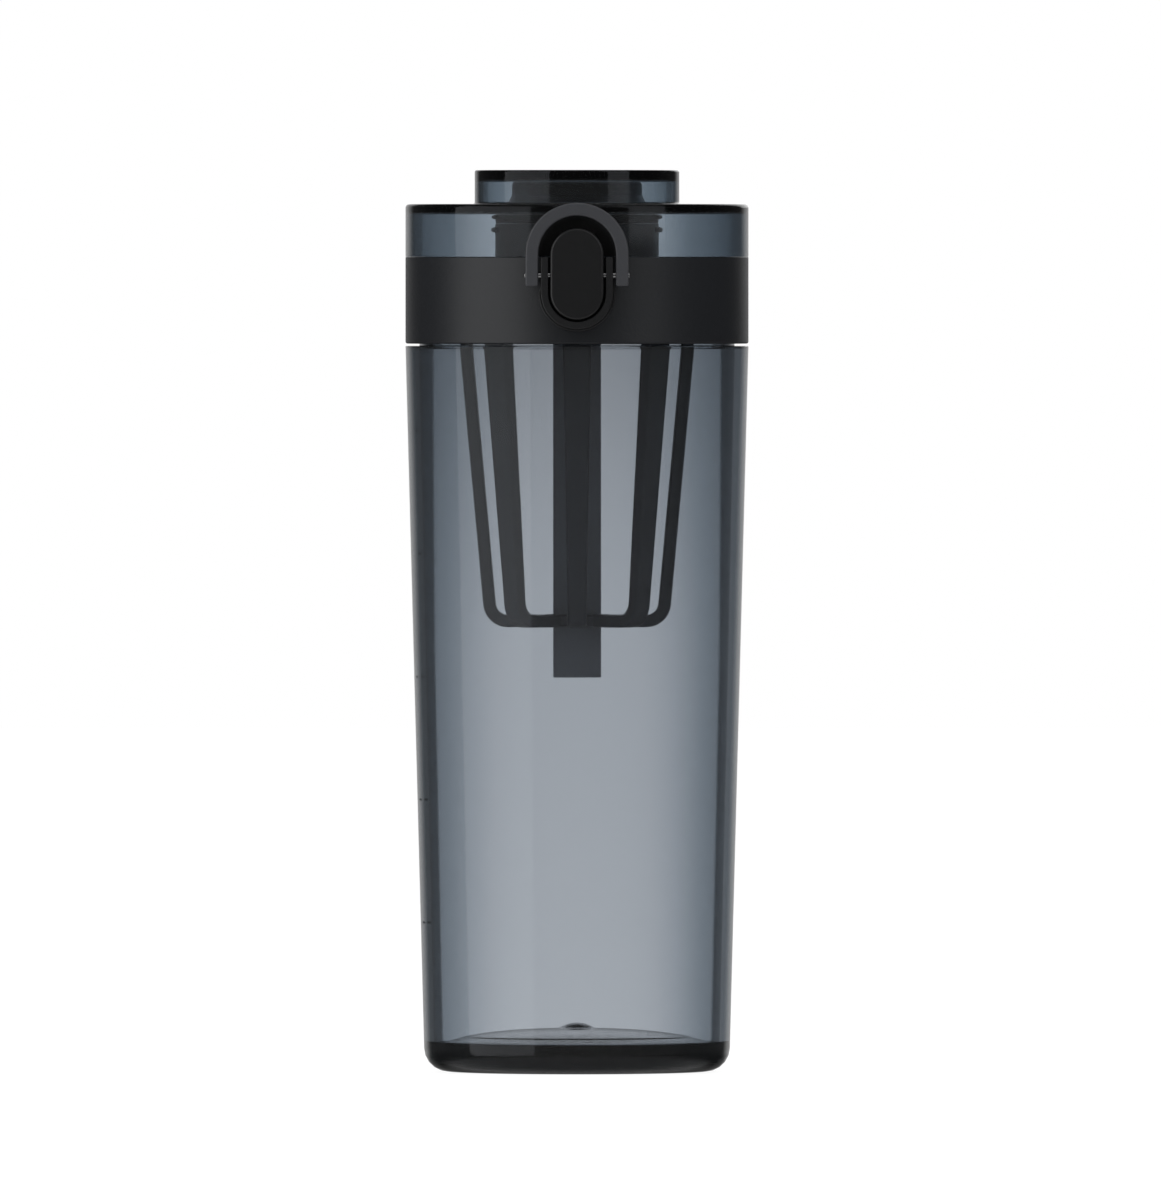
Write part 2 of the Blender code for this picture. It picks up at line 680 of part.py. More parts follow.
def make_mixing_cage(parts, cutters, material):
    """Eight arms between a top ring, which snaps on the deck's socket, and a hub."""
    route = cage_arm_route()
    lengths = [0.0]
    for (one, _), (two, _) in zip(route, route[1:]):
        lengths.append(lengths[-1] + (two - one).length)
    shape = bmesh.new()
    for arm in range(CAGE_ARMS):
        spin = math.tau * arm / CAGE_ARMS
        rings = []
        for (point, turn), run in zip(route, lengths):
            taper = min(run / lengths[1], 1.0)
            half = (ARM_WIDTH_TOP + (ARM_WIDTH_FOOT - ARM_WIDTH_TOP) * taper) / 2
            outward = Vector((math.cos(turn), -math.sin(turn))) * ARM_THICKNESS / 2
            ring = []
            for side, face in ((-half, -1), (half, -1), (half, 1), (-half, 1)):
                radius = point.x + outward.x * face
                height = point.y + outward.y * face
                x = radius * math.cos(spin) - side * math.sin(spin)
                y = radius * math.sin(spin) + side * math.cos(spin)
                ring.append(shape.verts.new((x, y, height)))
            rings.append(ring)
        for one, two in zip(rings, rings[1:]):
            for corner in range(4):
                after = (corner + 1) % 4
                shape.faces.new((one[corner], one[after], two[after], two[corner]))
        shape.faces.new(rings[0])
        shape.faces.new(rings[-1])
    bmesh.ops.recalc_face_normals(shape, faces=shape.faces)
    mesh = bpy.data.meshes.new("cage_arms")
    shape.to_mesh(mesh)
    shape.free()
    arms = add_object("cage_arms", mesh, cutters)
    shelf_inner = CAGE_RING_BORE - CAGE_SHELF
    shelf_top = CAGE_RING_BOTTOM + CAGE_SHELF_THICKNESS
    groove = SOCKET_BOTTOM + BEAD_HEIGHT
    groove_reach = CAGE_RING_BORE + BEAD_REACH
    profile = [
        (CAGE_RADIUS, CAGE_TOP),
        (CAGE_RADIUS, CAGE_RING_BOTTOM),
        (shelf_inner, CAGE_RING_BOTTOM),
        (shelf_inner, shelf_top),
        (CAGE_RING_BORE, shelf_top),
        (CAGE_RING_BORE, groove - BEAD_WIDTH / 2),
        (groove_reach, groove),
        (CAGE_RING_BORE, groove + BEAD_WIDTH / 2),
        (CAGE_RING_BORE, CAGE_TOP),
    ]
    cage = turned("mixing_cage", profile, parts)
    hub_top = CAGE_FLOOR + ARM_THICKNESS
    hub = rod(
        "cage_hub", HUB_RADIUS, (0.0, 0.0, CAGE_FLOOR), (0.0, 0.0, hub_top), cutters, SMALL_STEPS,
    )
    slot = box(
        "hub_slot",
        (-BLADE_WIDTH / 2 - GAP, -BLADE_THICKNESS / 2 - GAP, CAGE_FLOOR - OVERRUN),
        (BLADE_WIDTH / 2 + GAP, BLADE_THICKNESS / 2 + GAP, hub_top + OVERRUN),
        cutters,
    )
    join(cage, arms, hub)
    cut(cage, slot)
    return complete(cage, material)


def make_stir_blade(parts, material):
    """The flat blade: a head bar that lies on the cage's shelf, and a long tongue."""
    head = CAGE_RING_BORE - GAP
    head_end = math.sqrt(head ** 2 - (BLADE_THICKNESS / 2) ** 2) - GAP
    tip = CAGE_FLOOR - BLADE_BELOW_CAGE
    half = BLADE_WIDTH / 2
    outline = [
        (head_end, BLADE_HEAD_TOP),
        (-head_end, BLADE_HEAD_TOP),
        (-head_end, BLADE_HEAD_BOTTOM),
        (-half, BLADE_HEAD_BOTTOM),
        (-half, tip),
        (half, tip),
        (half, BLADE_HEAD_BOTTOM),
        (head_end, BLADE_HEAD_BOTTOM),
    ]
    blade = prism("stir_blade", [outline], -BLADE_THICKNESS / 2, BLADE_THICKNESS / 2, parts)
    soften(blade, BLADE_CORNER, 1)
    return complete(blade, material)


def make_cover_shell(parts, cutters, material, pivot):
    """The clear flip cover: a drum with a raised crown, notched in front and behind."""
    inner = COVER_RADIUS - COVER_WALL
    profile = [(0.0, CROWN_TOP), (CROWN_RADIUS - CROWN_EDGE, CROWN_TOP)]
    profile += [(CROWN_RADIUS, CROWN_TOP - CROWN_EDGE), (CROWN_RADIUS, COVER_TOP + CROWN_FOOT)]
    profile += [(CROWN_RADIUS + CROWN_FOOT, COVER_TOP)]
    edge = (COVER_RADIUS - COVER_EDGE, COVER_TOP - COVER_EDGE)
    profile += arc(edge, COVER_EDGE, 90, 0, 4)
    profile += [
        (COVER_RADIUS, COVER_BOTTOM),
        (inner, COVER_BOTTOM),
        (inner, COVER_ROOF - COVER_EDGE / 2),
        (inner - COVER_EDGE / 2, COVER_ROOF),
        (CROWN_BORE, COVER_ROOF),
        (CROWN_BORE, CROWN_ROOF),
        (0.0, CROWN_ROOF),
    ]
    cover = turned("cover_shell", profile, parts, closed=False)
    front_outline = arch(NOTCH_RADIUS, ARCH_HEIGHT, COVER_BOTTOM - OVERRUN)
    reach = COVER_RADIUS - COVER_WALL - CATCH_FLOOR - OVERRUN
    front = prism(
        "front_notch", [front_outline], -COVER_RADIUS - OVERRUN, -reach, cutters,
    )
    half = HINGE_BLOCK_HALF + GAP
    rear = box(
        "rear_notch",
        (-half, reach, COVER_BOTTOM - OVERRUN),
        (half, COVER_RADIUS + OVERRUN, COVER_BOTTOM + HINGE_BLOCK_HEIGHT + GAP),
        cutters,
    )
    cut(cover, front, rear)
    return complete(cover, material, pivot)


def make_catch_block(parts, cutters, material, pivot):
    """The recessed arch in the cover's front, with the bar that the button's hook holds."""
    radius = NOTCH_RADIUS - GAP
    low = COVER_BOTTOM
    block = prism("catch_block", [arch(radius, ARCH_HEIGHT, low)], -CATCH_FACE, -CATCH_BACK, parts)
    flange_radius = NOTCH_RADIUS + CATCH_FLANGE
    inner = COVER_RADIUS - COVER_WALL
    flange_face = math.sqrt(inner ** 2 - flange_radius ** 2) - GAP
    flange_outline = [arch(flange_radius, ARCH_HEIGHT, low + GAP)]
    flange_outline[0] = [(x, min(z, COVER_ROOF - GAP)) for x, z in flange_outline[0]]
    flange = prism(
        "catch_flange", flange_outline, -flange_face, -flange_face + CATCH_FLANGE_THICKNESS, cutters,
    )
    bridge = prism(
        "catch_bridge", [arch(radius - CATCH_WALL / 2, ARCH_HEIGHT, low + GAP)],
        -CATCH_BACK - EMBED, -flange_face + CATCH_FLANGE_THICKNESS / 2, cutters,
    )
    recess = prism(
        "catch_recess", [arch(radius - CATCH_WALL, ARCH_HEIGHT, low - OVERRUN)],
        -CATCH_FACE - OVERRUN, -CATCH_BACK - EMBED, cutters,
    )
    bar_low = HOOK_HIGH + GAP
    bar_half = HOOK_WIDTH / 2 + LEDGE_BAR_OVERLAP
    bar = box(
        "catch_bar",
        (-bar_half, -LEDGE_FACE, bar_low),
        (bar_half, -CATCH_BACK, bar_low + LEDGE_BAR_HEIGHT),
        cutters,
    )
    cut(block, recess)
    join(block, bridge, flange, bar)
    return complete(block, material, pivot)


def make_hinge_block(parts, cutters, material, pivot):
    """The insert in the cover's rear wall, with two knuckles on the hinge pin."""
    inner = COVER_RADIUS - COVER_WALL
    flange_half = HINGE_BLOCK_HALF + HINGE_FLANGE
    flange_face = math.sqrt(inner ** 2 - flange_half ** 2) - GAP
    face = COVER_RADIUS + HINGE_BLOCK_PROUD
    top = COVER_BOTTOM + HINGE_BLOCK_HEIGHT
    block = box(
        "hinge_block",
        (-HINGE_BLOCK_HALF, flange_face - EMBED, COVER_BOTTOM),
        (HINGE_BLOCK_HALF, face, top),
        parts,
    )
    flange = box(
        "hinge_flange",
        (-flange_half, flange_face - HINGE_FLANGE_THICKNESS, COVER_BOTTOM + GAP),
        (flange_half, flange_face, top + HINGE_FLANGE_THICKNESS),
        cutters,
    )
    join(block, flange)
    outline = [(face - EMBED, COVER_BOTTOM + GAP)]
    outline += arc((HINGE_OUT, HINGE_HEIGHT), BARREL_RADIUS, 175, 440, ARCH_POINTS)
    outline += [(face - EMBED, COVER_BOTTOM + KNUCKLE_ARM_RISE)]
    left = prism(
        "knuckle_left", [outline], -HINGE_BLOCK_HALF, -KNUCKLE_INNER, cutters, along="X",
    )
    right = prism(
        "knuckle_right", [outline], KNUCKLE_INNER, HINGE_BLOCK_HALF, cutters, along="X",
    )
    join(block, left, right)
    bore = cross_pin(
        "knuckle_bore", BARREL_BORE, HINGE_BLOCK_HALF + OVERRUN, HINGE_OUT, HINGE_HEIGHT, cutters,
    )
    cut(block, bore)
    return complete(block, material, pivot)


def make_stopper_carrier(parts, material, pivot):
    """The black core in the crown: a stepped, flared plug that is hollow underneath."""
    straight_low = CORE_TOP - CORE_STRAIGHT
    flare_low = straight_low - CORE_FLARE
    flare = (MOUTH_RADIUS - CORE_RADIUS) * 2 / 3
    plug_low = CORE_BOTTOM - SEAL_THICKNESS - GAP - PLUG_DEPTH
    profile = [(0.0, CORE_TOP), (CORE_RADIUS - CORE_EDGE, CORE_TOP)]
    profile += [(CORE_RADIUS, CORE_TOP - CORE_EDGE), (CORE_RADIUS, straight_low)]
    profile += [(CORE_RADIUS + flare / 3, straight_low - CORE_FLARE * 2 / 3)]
    profile += [
        (CORE_RADIUS + flare, flare_low),
        (MOUTH_RADIUS, flare_low - CORE_RIM),
        (MOUTH_RADIUS, CORE_BOTTOM),
        (PLUG_RADIUS, CORE_BOTTOM),
        (PLUG_RADIUS, plug_low),
        (PLUG_RADIUS - PLUG_WALL, plug_low),
        (PLUG_RADIUS - PLUG_WALL, CORE_TOP - PLUG_ROOF),
        (0.0, CORE_TOP - PLUG_ROOF),
    ]
    carrier = turned("stopper_carrier", profile, parts, closed=False, steps=SMALL_STEPS)
    return complete(carrier, material, pivot)


def make_stopper_seal(parts, material, pivot):
    """The silicone ring that closes the mouth, with a lip round its edge."""
    outer = MOUTH_RADIUS - GAP
    lip = MOUTH_RADIUS + RIB_REACH
    middle = (SEAL_BOTTOM + SEAL_TOP) / 2
    bore = PLUG_RADIUS + GAP
    profile = [
        (outer, SEAL_TOP),
        (outer, middle + SEAL_LIP_WIDTH / 2),
        (lip, middle + SEAL_LIP_WIDTH / 4),
        (lip, middle - SEAL_LIP_WIDTH / 4),
        (outer, middle - SEAL_LIP_WIDTH / 2),
        (outer, SEAL_BOTTOM),
        (bore, SEAL_BOTTOM),
        (bore, SEAL_TOP),
    ]
    return complete(turned("stopper_seal", profile, parts, steps=SMALL_STEPS), material, pivot)


def make_latch_bezel(parts, cutters, material):
    """The U-shaped frame round the button, seated on the collar's wall."""
    low = POCKET_CENTRE
    above = COLLAR_TOP + OVERRUN
    pedestal_face = PIN_OUT - BAIL_THICKNESS / 2 - GAP
    back = COLLAR_RADIUS - BEZEL_DEPTH
    outline = arc((0.0, low), PEDESTAL_RADIUS, 180, 360, ARCH_POINTS)
    outline += [(PEDESTAL_WAIST, low + WAIST_STEP), (PEDESTAL_WAIST, above)]
    outline += [(-PEDESTAL_WAIST, above), (-PEDESTAL_WAIST, low + WAIST_STEP)]
    bezel = prism("latch_bezel", [outline], -pedestal_face, -back, parts)
    soften(bezel, BEZEL_EDGE)
    rim_outline = arc((0.0, low), RIM_RADIUS, 180, 360, ARCH_POINTS)
    rim_outline += [(RIM_RADIUS, above + OVERRUN), (-RIM_RADIUS, above + OVERRUN)]
    rim_face = COLLAR_RADIUS + BEZEL_OUT
    rim = prism("bezel_rim", [rim_outline], -rim_face, -back - EMBED, cutters)
    soften(rim, BEZEL_EDGE)
    pocket = prism(
        "bezel_pocket", [stadium(POCKET_RADIUS, low - POCKET_RADIUS, above + POCKET_RADIUS * 2)],
        -rim_face - OVERRUN, -back + OVERRUN, cutters,
    )
    reach = RIM_RADIUS + OVERRUN
    trim = box(
        "bezel_trim",
        (-reach, -rim_face - OVERRUN, COLLAR_TOP),
        (reach, -back + OVERRUN, above + OVERRUN * 2),
        cutters,
    )
    seat = rod(
        "bezel_seat", COLLAR_RADIUS + GAP,
        (0.0, 0.0, COLLAR_BOTTOM - OVERRUN), (0.0, 0.0, above + OVERRUN * 2),
        cutters, TURNED_STEPS * 2,
    )
    bore = cross_pin("bezel_bore", PIN_RADIUS + PIN_PLAY, reach, -PIN_OUT, PIN_HEIGHT, cutters)
    join(bezel, rim)
    cut(bezel, pocket, trim, seat, bore)
    return complete(bezel, material)


def make_rocker_button(parts, cutters, material, pivot):
    """The oval button: a plate on a pivot lug, with a hook above and a spring seat below."""
    button = prism(
        "rocker_button", [stadium(BUTTON_RADIUS, BUTTON_LOW, BUTTON_HIGH)],
        -BUTTON_FACE, -BUTTON_BACK, parts,
    )
    soften(button, BUTTON_EDGE)
    lug_half = BUTTON_RADIUS - LUG_INSET
    lug = cross_pin("button_lug", LUG_RADIUS, lug_half, -PIN_OUT, PIN_HEIGHT, cutters)
    hook = box(
        "button_hook",
        (-HOOK_WIDTH / 2, -BUTTON_BACK - EMBED, HOOK_LOW),
        (HOOK_WIDTH / 2, -LEDGE_FACE - CATCH_OVERLAP, HOOK_HIGH),
        cutters,
    )
    seat_height = PIN_HEIGHT - SPRING_BELOW_PIN
    seat = rod(
        "button_seat", SPRING_SEAT_RADIUS,
        (0.0, -BUTTON_BACK - SPRING_SEAT_DEPTH, seat_height),
        (0.0, -BUTTON_BACK + OVERRUN, seat_height),
        cutters,
    )
    bore = cross_pin(
        "button_bore", PIN_RADIUS + PIN_PLAY, BUTTON_RADIUS + OVERRUN, -PIN_OUT, PIN_HEIGHT, cutters,
    )
    join(button, lug, hook)
    cut(button, seat, bore)
    return complete(button, material, pivot)


def make_button_spring(parts, material):
    """The coil between the collar's wall and the button's seat."""
    half_wire = SPRING_WIRE / 2
    near = COLLAR_RADIUS + GAP + half_wire
    far = BUTTON_BACK + SPRING_SEAT_DEPTH - GAP - half_wire
    height = PIN_HEIGHT - SPRING_BELOW_PIN
    count = SPRING_TURNS * COIL_POINTS
    points = []
    for index in range(count + 1):
        angle = math.tau * index / COIL_POINTS
        out = near + (far - near) * index / count
        x = SPRING_RADIUS * math.cos(angle)
        points.append((x, -out, height + SPRING_RADIUS * math.sin(angle)))
    print("button spring, least gap between coils in metres:",
          round(coil_gap(points, SPRING_WIRE), 5))
    return complete(wire("button_spring", points, half_wire, parts), material)


def coil_gap(points, thickness):
    """The least distance between parts of a wire that are half a turn or more apart."""
    least = math.inf
    for index, one in enumerate(points):
        for two in points[index + COIL_POINTS // 2:]:
            least = min(least, (Vector(one) - Vector(two)).length - thickness)
    return least


def make_latch_pin(parts, material):
    """The steel cross pin of the button and of the bail."""
    pin = cross_pin("latch_pin", PIN_RADIUS, BAIL_RADIUS + PIN_PROUD, -PIN_OUT, PIN_HEIGHT, parts)
    return complete(pin, material)


def make_lock_bail(parts, cutters, material, pivot):
    """The arch over the button, hung on the latch pin by its two legs."""
    low = PIN_HEIGHT - BAIL_TAIL
    outline = arc((0.0, ARCH_HEIGHT), BAIL_RADIUS, 0, 180, ARCH_POINTS)
    outline += [(-BAIL_RADIUS, low), (-BAIL_INNER, low)]
    outline += arc((0.0, ARCH_HEIGHT), BAIL_INNER, 180, 0, ARCH_POINTS)
    outline += [(BAIL_INNER, low), (BAIL_RADIUS, low)]
    half = BAIL_THICKNESS / 2
    bail = prism("lock_bail", [outline], -PIN_OUT - half, -PIN_OUT + half, parts)
    soften(bail, BAIL_EDGE)
    reach = BAIL_RADIUS + OVERRUN
    bore = cross_pin("bail_bore", PIN_RADIUS + PIN_PLAY, reach, -PIN_OUT, PIN_HEIGHT, cutters)
    cut(bail, bore)
    return complete(bail, material, pivot)


def make_hinge_pin(parts, material):
    """The steel pin through the collar's ears and the cover's knuckles."""
    pin = cross_pin("hinge_pin", HINGE_PIN_RADIUS, EAR_OUTER, HINGE_OUT, HINGE_HEIGHT, parts)
    return complete(pin, material)


def make_hinge_spring(parts, material):
    """The torsion spring on the hinge pin: one leg on the collar, one behind the hinge block."""
    half_wire = TORSION_WIRE / 2
    width = TORSION_PITCH * TORSION_TURNS
    start = -width / 2
    count = TORSION_TURNS * COIL_POINTS
    coil = []
    for index in range(count + 1):
        angle = math.pi - math.tau * index / COIL_POINTS
        x = start + width * index / count
        y = HINGE_OUT + TORSION_RADIUS * math.cos(angle)
        coil.append((x, y, HINGE_HEIGHT + TORSION_RADIUS * math.sin(angle)))
    toe = COLLAR_RADIUS + GAP + half_wire
    near = HINGE_OUT - TORSION_RADIUS
    low_leg = [
        (start, toe, HINGE_HEIGHT - TORSION_LEG),
        (start, near, HINGE_HEIGHT - TORSION_LEG + TORSION_TOE * 2),
        (start, near, HINGE_HEIGHT - TORSION_TOE),
    ]
    high_leg = [
        (-start, near, HINGE_HEIGHT + TORSION_TOE),
        (-start, near, HINGE_HEIGHT + TORSION_LEG),
    ]
    print("hinge spring, least gap between coils in metres:",
          round(coil_gap(coil, TORSION_WIRE), 5))
    spring = wire("hinge_spring", low_leg + coil + high_leg, half_wire, parts)
    return complete(spring, material)


def main():
    clear_scene()
    parts = new_collection("shaker_bottle")
    cutters = new_collection("cutters")
    smoke = finish("smoke_clear", (0.30, 0.33, 0.37), 0.08, transmission=0.9)
    black = finish("black_plastic", (0.018, 0.019, 0.021), 0.45)
    cage_black = finish("cage_plastic", (0.022, 0.024, 0.027), 0.40)
    grey = finish("bail_grey", (0.045, 0.046, 0.050), 0.40)
    steel = finish("steel", (0.60, 0.61, 0.62), 0.25, metallic=1.0)
    silicone = finish("silicone", (0.030, 0.031, 0.034), 0.60)
    hinge = (0.0, HINGE_OUT, HINGE_HEIGHT)
    latch = (0.0, -PIN_OUT, PIN_HEIGHT)
    make_tumbler(parts, cutters, smoke)
    make_neck_gasket(parts, silicone)
    make_collar(parts, cutters, black)
    make_lid_deck(parts, black)
    make_mixing_cage(parts, cutters, cage_black)
    make_stir_blade(parts, cage_black)
    make_latch_bezel(parts, cutters, black)
    make_latch_pin(parts, steel)
    make_hinge_pin(parts, steel)
    make_button_spring(parts, steel)
    make_hinge_spring(parts, steel)
    make_cover_shell(parts, cutters, smoke, hinge)
    make_catch_block(parts, cutters, black, hinge)
    make_hinge_block(parts, cutters, black, hinge)
    make_stopper_carrier(parts, black, hinge)
    make_stopper_seal(parts, silicone, hinge)
    make_rocker_button(parts, cutters, black, latch)
    make_lock_bail(parts, cutters, grey, latch)


main()
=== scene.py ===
"""The shaker bottle, dressed for a plain studio picture."""

import math

import bmesh
import bpy
from mathutils import Matrix, Vector


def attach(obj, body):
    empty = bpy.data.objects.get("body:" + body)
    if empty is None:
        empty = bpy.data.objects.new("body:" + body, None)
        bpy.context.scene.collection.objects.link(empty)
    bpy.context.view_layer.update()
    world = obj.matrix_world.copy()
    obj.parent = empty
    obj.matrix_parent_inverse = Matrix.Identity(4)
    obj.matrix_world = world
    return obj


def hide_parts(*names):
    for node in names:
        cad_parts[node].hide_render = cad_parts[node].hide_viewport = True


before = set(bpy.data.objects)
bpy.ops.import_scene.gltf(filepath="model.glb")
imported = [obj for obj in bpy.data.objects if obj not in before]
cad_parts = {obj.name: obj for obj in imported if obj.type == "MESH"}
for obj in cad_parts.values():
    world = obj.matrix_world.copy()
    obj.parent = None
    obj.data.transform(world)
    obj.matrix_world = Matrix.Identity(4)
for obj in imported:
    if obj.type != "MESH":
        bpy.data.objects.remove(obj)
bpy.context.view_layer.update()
scene = bpy.context.scene
scene.view_settings.view_transform = "Standard"
MM = 0.001

# The studio: a long lens level with the lid, a white sweep in a pale room, one tall soft box on the
# left, a smaller one on the right, and fainter ones above and behind.
LENS_DISTANCE = 9.0
LENS_HEIGHT = 0.215
LENS_SIDE = 0.00088
SENSOR = 24
FRAME_HEIGHT = 0.3009
FRAME_MIDDLE = 0.1182
BOTTLE_MIDDLE = 0.12
SWEEP_SIZE = 6
SWEEP_WHITE = (0.86, 0.86, 0.86, 1)
SWEEP_GLOW = 1.18
SWEEP_SHARE = 0.8
ROOM_LEVEL = 0.42
GUIDED_LEVEL = 0.36
GUIDED_LEAN = 0.26
GUIDED_LIFT = 1.2

camera = bpy.data.objects.new("camera", bpy.data.cameras.new("camera"))
camera.data.sensor_fit = "VERTICAL"
camera.data.sensor_height = SENSOR
camera.data.clip_end = 50
camera.location = (LENS_SIDE, -LENS_DISTANCE, LENS_HEIGHT)
aim = Vector((LENS_SIDE, 0, FRAME_MIDDLE)) - camera.location
camera.data.lens = SENSOR * aim.length / FRAME_HEIGHT
camera.rotation_euler = aim.to_track_quat("-Z", "Y").to_euler()
scene.collection.objects.link(camera)
scene.camera = camera


class Value:
    """What a node's socket gives. It can be added, multiplied and so on like a number."""

    def __init__(self, tree, socket):
        self.tree = tree
        self.socket = socket

    def step(self, operation, first, second):
        node = self.tree.nodes.new("ShaderNodeMath")
        node.operation = operation
        for socket, value in zip(node.inputs, (first, second)):
            plug(self.tree, socket, value)
        return Value(self.tree, node.outputs[0])

    def __add__(self, other):
        return self.step("ADD", self, other)

    def __radd__(self, other):
        return self.step("ADD", other, self)

    def __sub__(self, other):
        return self.step("SUBTRACT", self, other)

    def __rsub__(self, other):
        return self.step("SUBTRACT", other, self)

    def __mul__(self, other):
        return self.step("MULTIPLY", self, other)

    def __rmul__(self, other):
        return self.step("MULTIPLY", other, self)

    def __truediv__(self, other):
        return self.step("DIVIDE", self, other)

    def __gt__(self, other):
        return self.step("GREATER_THAN", self, other)


def plug(tree, socket, value):
    if isinstance(value, Value):
        tree.links.new(value.socket, socket)
    else:
        socket.default_value = value


class Tree:
    """A node tree under construction, for a material or for the world."""

    def __init__(self, owner):
        owner.use_nodes = True
        self.owner = owner
        self.tree = owner.node_tree
        self.tree.nodes.clear()

    def add(self, kind, settings=None, values=None, output=0):
        """Adds a node: its settings first, then what its sockets hold."""
        node = self.tree.nodes.new(kind)
        for name, value in (settings or {}).items():
            setattr(node, name, value)
        for name, value in (values or {}).items():
            plug(self.tree, node.inputs[name], value)
        return Value(self.tree, node.outputs[output]) if node.outputs else None

    def along(self, place, axis):
        """How far a place lies along one axis."""
        return self.add("ShaderNodeSeparateXYZ", None, {0: place}, axis)

    def ramp(self, value, low, high, first=0.0, last=1.0, shape="SMOOTHSTEP"):
        """Goes from first to last while the value goes from low to high."""
        return self.add("ShaderNodeMapRange", {"interpolation_type": shape}, {
            "Value": value, "From Min": low, "From Max": high, "To Min": first, "To Max": last,
        })


# The room is white to the lens and through clear plastic, plain to soft light, and to gleams it is
# dark with a pale end behind the bottle. Light that runs inside the plastic sees that end brighter
# to the right and upwards.
sky = Tree(bpy.data.worlds.new("studio"))
scene.world = sky.owner
seen = sky.add("ShaderNodeLightPath", output="Is Camera Ray")
mirrored = sky.add("ShaderNodeLightPath", output="Glossy Depth") > 0.5
passed = sky.add("ShaderNodeLightPath", output="Is Transmission Ray")
through = passed * (1 - mirrored)
glossy = mirrored * (1 - seen)
bearing = sky.add("ShaderNodeTexCoord", output="Generated")
across = sky.along(bearing, "X")
beyond = sky.along(bearing, "Y")
upward = sky.along(bearing, "Z")
behind = sky.ramp(beyond, 0.80, 0.95, 0.05, 0.50)
guided = sky.ramp(beyond, 0.60, 0.85)
above = sky.ramp(upward, -0.22, -0.06, 0.2, 1.0)
below = sky.ramp(upward, -0.65, -0.35, 0.38, 0.0)
lifted = sky.ramp(upward, 0.0, 0.30)
inside = passed * guided * (GUIDED_LEVEL + GUIDED_LEAN * across + GUIDED_LIFT * lifted)
gleam = above * ((1 - passed) * behind + inside) + (1 - passed) * below
ambient = (1 - seen) * (1 - through) * (1 - glossy) * ROOM_LEVEL
sky.add("ShaderNodeOutputWorld", None, {"Surface": sky.add("ShaderNodeBackground", None, {
    "Color": (1, 1, 1, 1), "Strength": seen + through + glossy * gleam + ambient,
})})


def soft_box(name, azimuth, height, distance, wide, tall, power):
    """A lamp panel that faces the bottle. Azimuth 0 is the camera's side."""
    lamp = bpy.data.lights.new(name, "AREA")
    lamp.shape = "RECTANGLE"
    lamp.size = wide
    lamp.size_y = tall
    lamp.energy = power
    item = bpy.data.objects.new(name, lamp)
    turn = math.radians(azimuth)
    item.location = (distance * math.sin(turn), -distance * math.cos(turn), height)
    look = Vector((0, 0, BOTTLE_MIDDLE)) - item.location
    item.rotation_euler = look.to_track_quat("-Z", "Y").to_euler()
    item.visible_transmission = False
    scene.collection.objects.link(item)


soft_box("left_box", -60, 0.3, 1.3, 1.45, 1.9, 10.4)
soft_box("right_box", 48, 1.0, 1.6, 0.95, 1.8, 5.4)
soft_box("top_box", 10, 1.7, 0.8, 1.2, 1.2, 2.4)
soft_box("rear_box", 165, 0.9, 1.8, 1.4, 1.4, 4.0)

floor_mesh = bpy.data.meshes.new("floor")
plane = bmesh.new()
bmesh.ops.create_grid(plane, x_segments=1, y_segments=1, size=SWEEP_SIZE)
plane.to_mesh(floor_mesh)
plane.free()
floor = bpy.data.objects.new("floor", floor_mesh)
floor.location = (0, 0, -0.0002)
floor.visible_glossy = False
floor.visible_transmission = False
scene.collection.objects.link(floor)
sweep = Tree(bpy.data.materials.new("white_sweep"))
to_lens = sweep.add("ShaderNodeLightPath", output="Is Camera Ray")
sweep.add("ShaderNodeOutputMaterial", None, {"Surface": sweep.add("ShaderNodeMixShader", None, {
    0: to_lens * SWEEP_SHARE,
    1: sweep.add("ShaderNodeBsdfDiffuse", None, {"Color": SWEEP_WHITE}),
    2: sweep.add("ShaderNodeEmission", None, {"Color": (1, 1, 1, 1), "Strength": SWEEP_GLOW}),
})})
floor.data.materials.append(sweep.owner)

# Tumbler: one clear smoke-grey moulding with a tapered wall, a thick foot that the tint turns
# black, a domed floor with the gate mark in its middle, and a coarse thread on the neck.
FOOT_R = 38.2
FOOT_WALL = 2.6
SHOULDER = 181.9
SHOULDER_R = 43.0
SHOULDER_WALL = 3.45
WEB = 0.6
NECK_R = 39.5
NECK_TOP = 198.0
BORE_R = 37.2
NUB_TOP = 12.4
NUB_R = 8.26
DOME_TOP = 11.0
DOME_FALL = 2.1
DOME_R = 28.4
FLOOR_EDGE = 7.2
THREAD_FOOT = 187.5
THREAD_TURNS = 1.25
THREAD_LEAD = 5.0
RIDGE_SUNK = 0.8
RIDGE_HEIGHT = 1.0
RIDGE_ROOT_HALF = 0.9
RIDGE_CREST_HALF = 0.42
PLASTIC_IOR = 1.49
FACING_TONE = (0.965, 0.98, 0.993)
# EDGE_TONE and EDGE_SLANT paint a highlight at the outer skin's very edge; RIM_TONE and RIM_SLANT
# paint a dark shade line beside the bore's edge.
EDGE_TONE = (0.84, 0.95, 1.0)
RIM_TONE = (0.01, 0.013, 0.018)
RIM_SLANT = (0.635, 0.685)
EDGE_SLANT = (0.62, 0.74)
# Heights between which the tumbler is painted darker upwards: painted shade under the collar.
TOP_SHADE_HEIGHTS = (0.105, 0.182)


